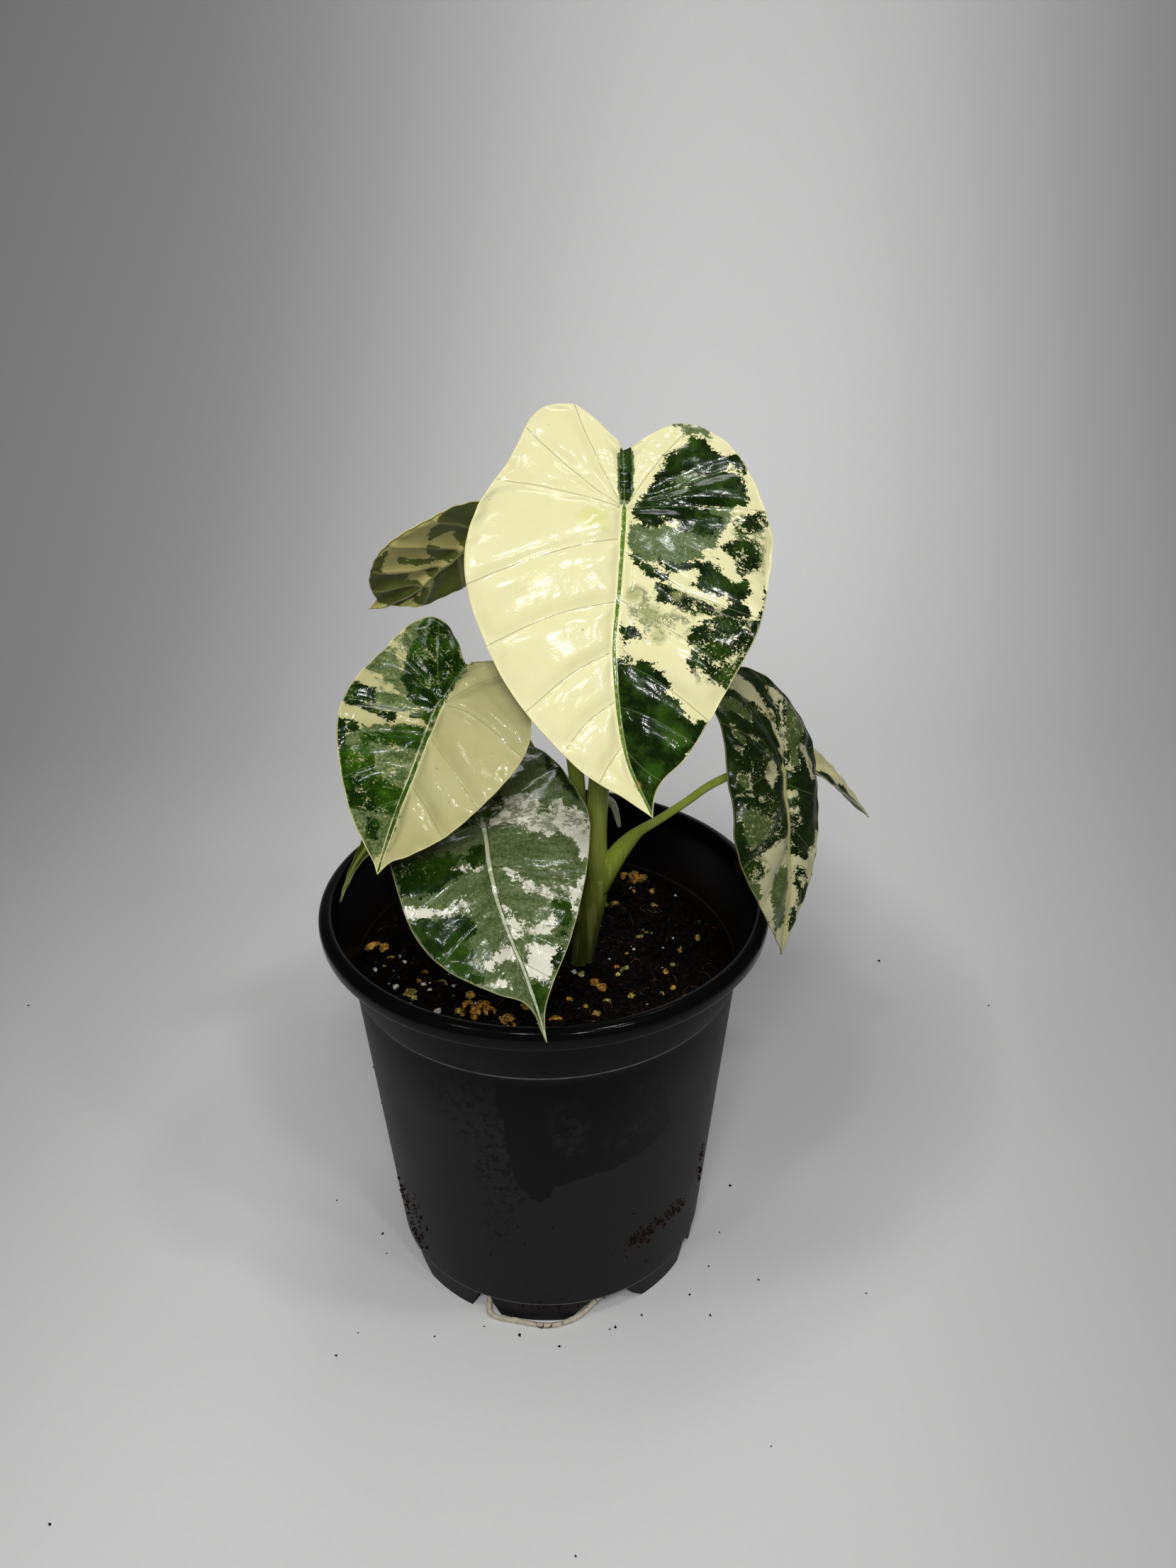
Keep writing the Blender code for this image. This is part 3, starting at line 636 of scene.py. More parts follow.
def mark_wall(mesh):
    """How deep each point of the pot lies in the marks on its front, and which points are inside."""
    places = np.array([corner.co for corner in mesh.vertices]) / MM - (*POT_AXIS, 0)
    height = places[:, 2]
    radius = np.hypot(places[:, 0], places[:, 1])
    round_wall = (np.arctan2(places[:, 1], places[:, 0]) + math.pi / 2) * STAIN_RADIUS
    flat = np.stack([round_wall, height], 1)
    wall = np.where(height > WALL_TOP[1], COLLAR_FOOT[0], wall_radius(height)) - 0.5
    for name, outlines in {"wet": WET, "blotched": BLOTCHED, "wiped": WIPED, "smudge": SMUDGES}.items():
        depth = np.max([depth_inside(flat, outline) for outline in outlines], axis=0)
        mark(mesh, name, np.where(radius > wall, np.clip(depth, -DEEPEST, DEEPEST), -DEEPEST))
    mark(mesh, "inner", (height > FLOOR_TOP - 0.1) & (radius < wall) & (height < COLLAR_TOP[1]))


# Potting mix

def mix_radius(height):
    low = (WALL_FOOT[0] - PLASTIC, WALL_FOOT[1] + 0.2)
    high = (WALL_TOP[0] - PLASTIC, WALL_TOP[1] - 0.2)
    return low[0] + (high[0] - low[0]) / (high[1] - low[1]) * (height - low[1]) - CLEARANCE


def mix_lumps():
    """Chunks at the surface, in the places that the model gives them: x, y, radius and height."""
    draw = random.Random(MIX_SEED)
    lumps = []
    for _ in range(MIX_LUMPS):
        place = random_place(draw, MIX_LUMP_SPREAD)
        lumps.append((*place, draw.uniform(*MIX_LUMP_RADIUS), draw.uniform(*MIX_LUMP_HEIGHT)))
    return lumps


LUMPS = mix_lumps()


def mix_level(x, y):
    """The height of the surface at a place: lumps over a gentle slope, and crumbs over both."""
    rise = np.zeros(np.shape(x))
    for lump_x, lump_y, radius, height in LUMPS:
        reach = np.hypot(x - lump_x, y - lump_y) / radius
        rise = np.maximum(rise, height * np.clip(1 - reach**2, 0, None) ** 0.7)
    return MIX_LEVEL + MIX_SLOPE * y + rise


def from_stem(x, y):
    """How far a place is from the middle of the stem's foot."""
    return math.hypot(x - STEM_FOOT[0], y - STEM_FOOT[1])


def on_mix(x, y, lift):
    """A place `lift` over the surface of the mix."""
    return np.array((x, y, float(mix_level(x, y)) + lift))


def seen_on_mix(pixel, radius):
    """Where the camera sees the mix at a pixel, clear of the pot's wall by a body's radius."""
    place = seen_at(pixel, MIX_LEVEL + 1)
    share = min(1.0, (mix_radius(MIX_LEVEL) - 1.3 * radius) / math.hypot(place.x, place.y))
    return place.x * share, place.y * share


def mix_finish(name="wet_mix", dark=(4, 2, 1), light=(17, 10, 6)):
    """Wet peat and bark: near black, with brown crumbs that catch a little light."""
    mix = Finish(name)
    where = mix.place()
    crumbs = mix.noise(where, 1.6, detail=6, roughness=0.72)
    patches = mix.noise(where, 9.0, detail=3)
    tone = mix.times(mix.step(crumbs, 0.42, 0.75), mix.span(patches, 0.3, 0.7, 0.35, 1.0))
    rough = mix.span(mix.noise(where, 1.1, 3), 0.35, 0.65, 0.42, 0.95)
    normal = mix.bump(mix.noise(where, 0.9, 5, 0.7), 0.7, 0.6)
    return mix.shade(base=mix.mix(tone, dark, light), rough=rough, normal=normal, specular=0.1)


def make_mix():
    """The root ball: crumbly on top, plain down the wall of the pot."""
    foot = FLOOR_TOP + CLEARANCE
    top = mix_radius(MIX_LEVEL)
    radii = list(np.linspace(MIX_CENTRE, top, MIX_RINGS))
    radii += [mix_radius(MIX_WAIST), mix_radius(foot), MIX_CENTRE]
    angles = np.linspace(0, 2 * math.pi, MIX_SIDES, endpoint=False)
    x = np.outer(radii, np.cos(angles))
    y = np.outer(radii, np.sin(angles))
    z = mix_level(x, y)
    for ring in range(MIX_RINGS):
        for side in range(MIX_SIDES):
            place = Vector((x[ring, side], y[ring, side], 0))
            z[ring, side] += MIX_CRUMBLE * noise.fractal(place * MIX_CRUMBLE_PITCH, 1.0, 2.1, 4)
    z[MIX_RINGS - 1] = np.minimum(z[MIX_RINGS - 1], MIX_LEVEL + MIX_EDGE_RISE)
    z[MIX_RINGS:] = [[MIX_WAIST], [foot], [foot]]
    points = np.stack([x, y, z], -1).reshape(-1, 3)
    made = add_piece("root_ball", points, grid_faces(len(radii), MIX_SIDES, wrap=True), mix_finish(),
                     weld=0.1)
    put(made, "potting_mix")


def chunk(draw, place, radius, detail, roughness, flat, pitch=1.6):
    """A broken lump at a place: its points and triangles."""
    work = bmesh.new()
    bmesh.ops.create_icosphere(work, subdivisions=detail, radius=1)
    shift = Vector([draw.uniform(-50, 50) for _ in range(3)])
    stretch = Vector([draw.uniform(0.7, 1.25), draw.uniform(0.7, 1.25), flat * draw.uniform(0.7, 1.1)])
    turn = Matrix.Rotation(draw.uniform(0, 6.28), 3, "Z") @ Matrix.Rotation(draw.uniform(-0.5, 0.5), 3, "X")
    for corner in work.verts:
        out = corner.co.normalized()
        bulge = 1 + roughness * noise.fractal(out * pitch + shift, 0.9, 2.0, 4)
        corner.co = turn @ Vector([part * size for part, size in zip(out * bulge * radius, stretch)])
    points = np.array([corner.co for corner in work.verts])
    work.verts.index_update()
    faces = np.array([[corner.index for corner in face.verts] for face in work.faces])
    work.free()
    return points + place, faces


def scatter(name, parts, finish, attributes=None):
    """Joins loose bodies in one piece that goes with the mix."""
    put(add_piece(name, *join(parts), finish, attributes))


def make_grit():
    """Crumbs of bark and peat all over the mix."""
    draw = random.Random(CRUMB_SEED)
    crumbs = []
    for _ in range(CRUMB_COUNT):
        x, y = random_place(draw, CRUMB_REACH)
        if from_stem(x, y) < STEM_RADIUS + 2:
            continue
        radius = draw.choice((0.5, 0.6, 0.8, 1.0, 1.4, 1.9)) * draw.uniform(0.8, 1.2)
        detail = 1 if radius < 0.7 else 2
        crumbs.append(chunk(draw, on_mix(x, y, radius * 0.25), radius, detail, 0.5, draw.uniform(0.4, 0.9)))
    scatter("bark_crumbs", crumbs, mix_finish("bark", (6, 3, 2), (40, 21, 12)))


# Stones that the photograph shows on the mix: pixel of the middle, radius, and share of orange
STONES = [
    ((660, 1414), 2.6, 0.95), ((671, 1422), 2.8, 0.85), ((682, 1413), 2.3, 1.0), ((690, 1423), 2.4, 0.9),
    ((650, 1424), 1.8, 0.5), ((668, 1431), 1.7, 0.9), ((716, 1434), 2.4, 0.75), ((722, 1442), 1.5, 0.9),
    ((783, 1437), 2.2, 0.9), ((543, 1342), 2.2, 0.75), ((551, 1352), 1.9, 0.6), ((547, 1361), 1.6, 0.3),
    ((579, 1397), 2.2, 0.35), ((585, 1404), 1.3, 0.2),
    ((626, 1388), 1.6, 0.2), ((637, 1403), 1.7, 0.3), ((840, 1386), 2.4, 0.95), ((849, 1391), 2.2, 0.85),
    ((939, 1378), 1.9, 0.6),
    ((826, 1421), 1.3, 0.3), ((842, 1431), 1.7, 0.45), ((856, 1409), 1.5, 0.2), ((892, 1405), 2.2, 0.35),
    ((882, 1234), 2.2, 0.75), ((888, 1241), 1.6, 0.5), ((903, 1233), 2.4, 0.8), ((908, 1241), 1.9, 0.7),
    ((920, 1256), 1.6, 0.7), ((851, 1274), 2.0, 0.5), ((856, 1279), 1.5, 0.3),
    ((868, 1280), 1.8, 0.3), ((922, 1275), 1.6, 0.4), ((510, 1340), 2.6, 0.8), ((820, 1375), 1.6, 0.1),
    ((742, 1420), 1.8, 0.85), ((600, 1375), 1.5, 0.8), ((960, 1340), 1.7, 0.4), ((984, 1322), 1.4, 0.3),
]
# Specks of perlite: pixel and radius
PERLITE = [
    ((562, 1347), 1.2), ((571, 1360), 1.4), ((559, 1393), 1.8), ((607, 1399), 1.3), ((617, 1425), 2.2),
    ((808, 1374), 2.0), ((822, 1376), 1.4), ((919, 1392), 1.1), ((876, 1444), 0.9), ((598, 1390), 1.1),
    ((838, 1272), 1.4), ((880, 1265), 1.0), ((860, 1350), 0.8), ((640, 1395), 1.0), ((700, 1448), 0.9),
    ((952, 1262), 0.9), ((530, 1372), 1.0), ((764, 1352), 1.3), ((770, 1362), 1.0),
]


def stone_finish():
    """Volcanic pumice, from rusty orange to mossy yellow, pitted and powdery."""
    stone = Finish("pumice")
    where = stone.place()
    cloud = stone.noise(where, 1.8, detail=4, roughness=0.65)
    pale = stone.mix(cloud, (112, 116, 40), (214, 208, 120))
    rust = stone.mix(cloud, (136, 80, 14), (236, 172, 66))
    warm = stone.total(stone.attribute("warm"), stone.span(cloud, 0.3, 0.7, -0.25, 0.25))
    pits = stone.step(stone.cells(where, 0.9, "F1"), 0.45, 0.2)
    dirt = stone.step(stone.noise(where, 1.6, 5, 0.75), 0.42, 0.58)
    tint = stone.lay(stone.mix(warm, pale, rust), (34, 22, 10), dirt, 0.82)
    tint = stone.lay(tint, (40, 26, 12), pits, 0.55)
    normal = stone.bump(stone.total(cloud, stone.times(pits, -0.8)), 0.8, 0.5)
    return stone.shade(base=tint, rough=0.85, normal=normal, specular=0.2)


def perlite_finish():
    perlite = Finish("perlite")
    where = perlite.place()
    cloud = perlite.noise(where, 0.9, detail=4, roughness=0.7)
    tint = perlite.mix(perlite.step(cloud, 0.4, 0.66), (206, 202, 190), (120, 112, 96))
    return perlite.shade(base=tint, rough=0.9, normal=perlite.bump(cloud, 0.6, 0.4), specular=0.2)


def make_stones():
    draw = random.Random(STONE_SEED)
    stones = [(on_mix(*seen_on_mix(pixel, radius), radius * -0.15), radius, warm)
              for pixel, radius, warm in STONES]
    for _ in range(STONE_COUNT):
        x, y = random_place(draw, STONE_REACH)
        if from_stem(x, y) > STONE_GAP:
            radius = draw.uniform(0.4, 1.2) * draw.choice((1, 1, 1.6))
            stones.append((on_mix(x, y, radius * -0.2), radius, draw.random()))
    parts, warmth = [], []
    for place, radius, warm in stones:
        parts.append(chunk(draw, place, radius, 4 if radius > 1.6 else 3, 0.27, 0.95, 1.3))
        warmth.append(np.full(len(parts[-1][0]), warm))
    scatter("pumice", parts, stone_finish(), {"warm": np.concatenate(warmth)})
    specks = [(on_mix(*seen_on_mix(pixel, radius), 0), radius * 0.75) for pixel, radius in PERLITE]
    for _ in range(PERLITE_COUNT):
        place = on_mix(*random_place(draw, PERLITE_REACH), 0.1)
        specks.append((place, draw.uniform(0.2, 0.55)))
    parts = [chunk(draw, place, radius, 2, 0.6, 0.8) for place, radius in specks]
    scatter("perlite", parts, perlite_finish())


# A direction in which no tube sets out
ASKEW = (0.3, 1.0, 0.2)


def tube(points, sides, flat=1.0):
    """A closed tube through points whose fourth number is the radius: its points and faces."""
    line = np.array(points, float)
    ahead = np.gradient(line[:, :3], axis=0)
    ahead /= np.linalg.norm(ahead, axis=1)[:, None]
    across = np.cross(ahead[0], ASKEW)
    rings = []
    angles = np.linspace(0, 2 * math.pi, sides, endpoint=False)
    for place, forward in zip(line, ahead):
        across = across - forward * np.dot(across, forward)
        across /= np.linalg.norm(across)
        other = np.cross(forward, across)
        ring = np.outer(np.cos(angles), across) + flat * np.outer(np.sin(angles), other)
        rings.append(place[:3] + ring * place[3])
    count = len(rings)
    faces = [tuple(face) for face in grid_faces(count, sides, wrap=True)]
    faces.append(tuple(range(sides - 1, -1, -1)))
    faces.append(tuple((count - 1) * sides + side for side in range(sides)))
    return np.vstack(rings), faces


def make_fibres():
    """Threads of coir and dead root on the mix."""
    draw = random.Random(FIBRE_SEED)
    threads = []
    for _ in range(FIBRE_COUNT):
        x, y = random_place(draw, FIBRE_REACH)
        if from_stem(x, y) < STEM_RADIUS + 3:
            continue
        bearing, bend = draw.uniform(0, 6.28), draw.uniform(-0.5, 0.5)
        route, step = [], draw.uniform(0.5, 1.6)
        for _ in range(7):
            route.append((*on_mix(x, y, draw.uniform(0.0, 0.5)), draw.uniform(0.10, 0.16)))
            x += step * math.cos(bearing)
            y += step * math.sin(bearing)
            bearing += bend + draw.uniform(-0.3, 0.3)
        threads.append(tube(smooth(route, 14), 5))
    fibre = Finish("fibre")
    shades = fibre.noise(fibre.place(), 6.0, detail=3)
    tint = fibre.mix(fibre.step(shades, 0.35, 0.7), (26, 15, 8), (86, 56, 30))
    scatter("fibres", threads, fibre.shade(base=tint, rough=0.8))


# Dirt on the wall of the pot: bearing, height, spread of both and number of crumbs
WALL_DIRT = [(-156, 32, 6, 9, 70), (-146, 34, 7, 9, 50), (-150, 18, 6, 6, 50), (-58, 37, 6, 4, 120),
             (-48, 39, 7, 4, 60), (-40, 39, 4, 4, 30), (-26, 54, 2, 5, 30), (-24, 40, 2, 4, 20),
             (-67, 53, 1, 1, 2), (-100, 9, 12, 2, 24), (-84, 8, 10, 2, 16), (120, 30, 25, 10, 50),
             (35, 24, 14, 7, 40), (-90, 45, 60, 30, 14)]


def make_wall_dirt():
    """Crumbs of mix that stick to the wall."""
    draw = random.Random(DIRT_SEED)
    crumbs = []
    for bearing, height, spread, rise, count in WALL_DIRT:
        for _ in range(count):
            level = max(1.5, draw.gauss(height, rise * 0.6))
            where = draw.gauss(bearing, spread * 0.6)
            wall = wall_radius(level) if level > WALL_FOOT[1] else FOOT_RADIUS + level / 10
            radius = draw.uniform(0.14, 0.34) * draw.choice((1, 1, 1, 2))
            place = polar(wall + radius * 0.1, where, level)
            crumbs.append(chunk(draw, place, radius, 2, 0.7, draw.uniform(0.6, 1.6)))
    scatter("wall_dirt", crumbs, mix_finish("dry_mix", (22, 12, 8), (74, 42, 26)))


# Blades

@dataclass
class Blade:
    """A heart-shaped blade: a plan outline bent to a height over the plane of its joint and tip.

    In the plan, y runs from the joint to the tip and x to the side of `left`; the lobes have y < 0.
    The rib runs from the notch between the lobes to the tip, and `left` and `right` are the margins
    between its two ends. `veins` run from rib to margin, each through three points. `patches` are laid
    one over the other on the `ground`.
    """

    joint: tuple
    tip: tuple
    roll: float
    fold: tuple
    cup: tuple
    arch: float
    rib: list
    left: list
    right: list
    waves: list = field(default_factory=list)
    droop: tuple = (0, 0)
    rows: int = 20
    detail: tuple = (8, 46)
    veins: list = field(default_factory=list)
    ground: str = "cream"
    patches: list = field(default_factory=list)
    look: dict = field(default_factory=dict)

    def __post_init__(self):
        self.origin = np.array(self.joint, float)
        along = np.array(self.tip) - self.origin
        self.length = np.linalg.norm(along)
        self.along = along / self.length
        upright = np.array((0, 0, 1.0)) - self.along * self.along[2]
        upright /= np.linalg.norm(upright)
        sideways = np.cross(self.along, upright)
        turn = math.radians(self.roll)
        self.up = math.cos(turn) * upright + math.sin(turn) * sideways
        self.side = np.cross(self.along, self.up)
        self.rib_curve = smooth(self.rib, RIB_STEPS)
        ends = self.rib[:1], self.rib[-1:]
        self.margins = {hand: smooth(ends[0] + margin + ends[1], MARGIN_STEPS)
                        for hand, margin in ((1, self.left), (-1, self.right))}
        self.joint_row = round(JOINT_SHARE * self.rows)

    def rib_place(self, row):
        """The rib's points at rows: rows fan out from the stretch between notch and joint."""
        places = np.linspace(0, 1, len(self.rib_curve))
        at_joint = np.interp(0, self.rib_curve[:, 1], places)
        before = at_joint * (np.minimum(row, self.joint_row) / self.joint_row) ** NOTCH_CROWDING
        past = np.maximum(row - self.joint_row, 0) / (self.rows - self.joint_row)
        place = before + (1 - at_joint) * past**TIP_CROWDING
        return np.stack([np.interp(place, places, self.rib_curve[:, k]) for k in (0, 1)], -1)

    def margin_place(self, row, hand):
        margin = self.margins[hand]
        places = np.linspace(0, 1, len(margin))
        return np.stack([np.interp(row / self.rows, places, margin[:, k]) for k in (0, 1)], -1)

    def rib_offset(self, x, y):
        return x - np.interp(y, self.rib_curve[:, 1], self.rib_curve[:, 0])

    def height(self, x, y, hand):
        """The blade's height over its plane: fold and cup across it, arch along it, and waves."""
        half = 0 if hand > 0 else 1
        distance = hand * self.rib_offset(x, y)
        q = y / self.length
        reach = distance / CUP_REACH
        height = self.fold[half] * distance - self.cup[half] * reach * np.abs(reach)
        height += self.arch * 4 * q * (1 - q)
        height -= self.droop[half] * (np.maximum(0, self.rib[0][1] - y) / DROOP_REACH) ** 2
        for side, rise, centre, width in self.waves:
            if side == hand:
                height += rise * reach**2 * np.exp(-(((y - centre) / width) ** 2))
        return height

    def place(self, x, y, height):
        """Where the points of the plan are, a height over its plane."""
        return self.origin + y[..., None] * self.along + x[..., None] * self.side \
            + height[..., None] * self.up

    def rib_weight(self, row):
        """How much of the rib's full thickness it has at rows."""
        before = (np.minimum(row, self.joint_row) / self.joint_row) ** 2
        after = RIB_TAPER * np.maximum(row - self.joint_row, 0) / (self.rows - self.joint_row)
        return before - after

    def seat(self):
        """Where the petiole meets the underside of the joint, and the direction in which it arrives."""
        rows = np.array([self.joint_row - 1.0, self.joint_row + 1.0])
        plan = self.rib_place(rows)
        before, after = self.place(plan[:, 0], plan[:, 1], self.height(plan[:, 0], plan[:, 1], 1))
        ahead = (after - before) / np.linalg.norm(after - before)
        return self.origin, np.cross(self.side, ahead)


def vein_gap(plan, veins, hand):
    """Distance to the nearest vein of a half; its sign changes at every vein, so that it passes
    evenly through 0 there."""
    nearest = np.full(len(plan), 40.0)
    sign = np.ones(len(plan))
    every = np.arange(len(plan))
    for start, middle, end in veins:
        if hand * (end[0] - start[0]) < 0:
            continue
        line = smooth([start, middle, end], 14)
        line = np.vstack([line, line[-1] + 3 * (line[-1] - line[-2])])
        edges = np.diff(line, axis=0)
        gaps, offsets = line_gaps(plan, line[:-1], edges)
        pick = gaps.argmin(1)
        turn = edges[pick, 0] * offsets[every, pick, 1] - edges[pick, 1] * offsets[every, pick, 0]
        sign *= np.where(turn < 0, -1, 1)
        nearest = np.minimum(nearest, gaps[every, pick])
    return nearest * sign


# What a patch covers where it lies
COVERED = {"grey": ["dark"], "cream": ["dark", "grey"]}


def paint(plan, ground, patches):
    """Depth fields of the dark green, the grey green and the flecked areas, over the ground."""
    fields = {name: np.full(len(plan), -DEEPEST) for name in ("dark", "grey", "fleck", "calm")}
    if ground in fields:
        fields[ground][:] = DEEPEST
    for kind, outline in patches:
        depth = depth_inside(plan, outline)
        if kind in fields:
            fields[kind] = np.maximum(fields[kind], depth)
        for name in COVERED.get(kind, []):
            fields[name] = np.minimum(fields[name], -depth)
    return {name: np.clip(depth, -DEEPEST, DEEPEST) for name, depth in fields.items()}


QUILT_RISE = 1.15
QUILT_REACH = 2.7
QUILT_BASE = 0.35
RIB_GROOVE = (0.55, 2.2)
RIB_RIDGE = (0.5, 0.8)
SWELL = 0.85
PUCKER = 0.4
DIMPLE = 0.09
EDGE_RIPPLE = 0.3


def blade_relief(plan, row, across, vein, rib, edge, seed):
    """What stands out of the plain surface: quilting between sunken veins, a raised rib, ripples."""
    inner = ease(edge, 0.0, 5.0)
    relief = inner * (QUILT_RISE * (1 - np.exp(-((vein / QUILT_REACH) ** 2))) - QUILT_BASE)
    for (rise, reach), sign in ((RIB_GROOVE, -1), (RIB_RIDGE, 1)):
        relief += sign * rise * np.exp(-((rib / reach) ** 2)) * inner
    ripple = np.empty(len(plan))
    for index, (x, y) in enumerate(plan):
        swell = noise.noise(Vector((row[index] * 0.5, across[index] * 2.4, seed)))
        pucker = noise.noise(Vector((row[index] * 1.3, across[index] * 5.0, seed + 5)))
        dimple = noise.noise(Vector((x * 0.33, y * 0.33, seed + 9)))
        ripple[index] = SWELL * swell + PUCKER * pucker * math.exp(-2 * across[index]) + DIMPLE * dimple
    relief += ripple * inner
    return relief + EDGE_RIPPLE * np.sin(row * 5.1 + seed) * ease(across, 0.8, 1.0) * ease(edge + 1, 0, 2)


def make_blade(name, blade, number):
    """The blade with its relief on both faces, its veins and its markings as point attributes."""
    fine, columns = blade.detail
    rows = np.linspace(0, blade.rows, blade.rows * fine + 1)
    shares = np.linspace(0, 1, columns + 1) ** COLUMN_CROWDING
    halves = []
    for hand, across in ((-1, shares[:0:-1]), (1, shares)):
        row, reach = np.meshgrid(rows, across, indexing="ij")
        rib_place = blade.rib_place(row)
        margin = blade.margin_place(row, hand)
        plan = rib_place + (margin - rib_place) * reach[..., None]
        x, y = plan[..., 0], plan[..., 1]
        edge = np.linalg.norm(margin - rib_place, axis=-1) * (1 - reach)
        vein = vein_gap(plan.reshape(-1, 2), blade.veins, hand).reshape(row.shape)
        halves.append((row, reach, x, y, edge, vein, blade.height(x, y, hand)))
    row, across, x, y, edge, vein, high = (np.concatenate(pair, axis=1) for pair in zip(*halves))
    shape = row.shape
    rib = blade.rib_offset(x, y)
    rib = np.where(y < blade.rib[0][1], np.abs(rib) + blade.rib[0][1] - y, rib)
    vein = np.where(np.abs(rib) < np.abs(vein), np.sign(vein) * np.abs(rib), vein)
    base = blade.place(x, y, high)
    normal = np.cross(np.gradient(base, axis=1), np.gradient(base, axis=0))
    size = np.linalg.norm(normal, axis=-1, keepdims=True)
    normal = np.where(size > 1e-6, normal / np.maximum(size, 1e-6), blade.up)
    plan = np.stack([x, y], -1).reshape(-1, 2)
    flat = [values.ravel() for values in (row, across, vein, rib, edge)]
    relief = blade_relief(plan, *flat, number * SEED_STEP).reshape(shape)
    top = base + normal * relief[..., None]
    weight = blade.rib_weight(row)
    thickness = EDGE_THICKNESS + (BLADE_THICKNESS - EDGE_THICKNESS) * ease(edge, 0, EDGE_REACH)
    thickness += (RIB_THICKNESS - BLADE_THICKNESS) * weight * np.exp(-((rib / RIB_REACH) ** 2))
    keel = VEIN_KEEL[0] * np.exp(-((vein / VEIN_KEEL[1]) ** 2)) * ease(edge, 1, 6)
    thickness += keel + np.maximum(relief, 0) * RELIEF_SHARE
    bottom = top - normal * thickness[..., None]
    rib_half = (0.3 + 0.6 * np.clip(weight, 0, 1)) * ease(y, -3.0, 0.5) + 0.02
    layer = number * PLAN_STEP
    places = np.stack([x, y, np.full(shape, layer)], -1)
    flow = np.stack([row * 6, across * 9, np.full(shape, number * FLOW_STEP)], -1)
    attributes = {**paint(plan, blade.ground, blade.patches), "edge": edge.ravel(),
                  "vein": np.clip(vein, -DEEPEST, DEEPEST).ravel(), "rib": (rib / rib_half).ravel(),
                  "plan": places.reshape(-1, 3), "flow": flow.reshape(-1, 3)}
    attributes = {key: np.concatenate([values, values]) for key, values in attributes.items()}
    count = len(plan)
    attributes["under"] = np.repeat([0.0, 1.0], count)
    faces = [grid_faces(*shape), grid_faces(*shape, flip=True) + count]
    first = np.arange(shape[0] - 1) * shape[1]
    for start, ahead, behind in ((first, shape[1], 0), (first + shape[1] - 1, 0, shape[1])):
        sides = [start + ahead, start + behind, start + behind + count, start + ahead + count]
        faces.append(np.stack(sides, 1))
    points = np.vstack([top.reshape(-1, 3), bottom.reshape(-1, 3)])
    finish = blade_finish(name, blade.look, layer)
    made = add_piece(name.replace("leaf", "blade"), points, np.vstack(faces), finish, attributes,
                     weld=0.002)
    put(made, name)


# Colours and surface of a blade where it has no others of its own. Spots are places in its plan, with
# their reach, colour and weight.
LOOK = {
    "cream": ((224, 219, 172), (214, 207, 150)),
    "dark": ((11, 27, 2), (45, 72, 14)),
    "grey": ((72, 92, 48), (114, 126, 88)),
    "rib": (104, 128, 36),
    "rib_side": (226, 222, 172),
    "edge": (226, 220, 160),
    "khaki": (128, 124, 72),
    "speck": (158, 168, 84),
    "rough": 0.135,
    "ragged": 1.0,
    "grow": 0.2,
    "under": 0.5,
    "spots": [],
}


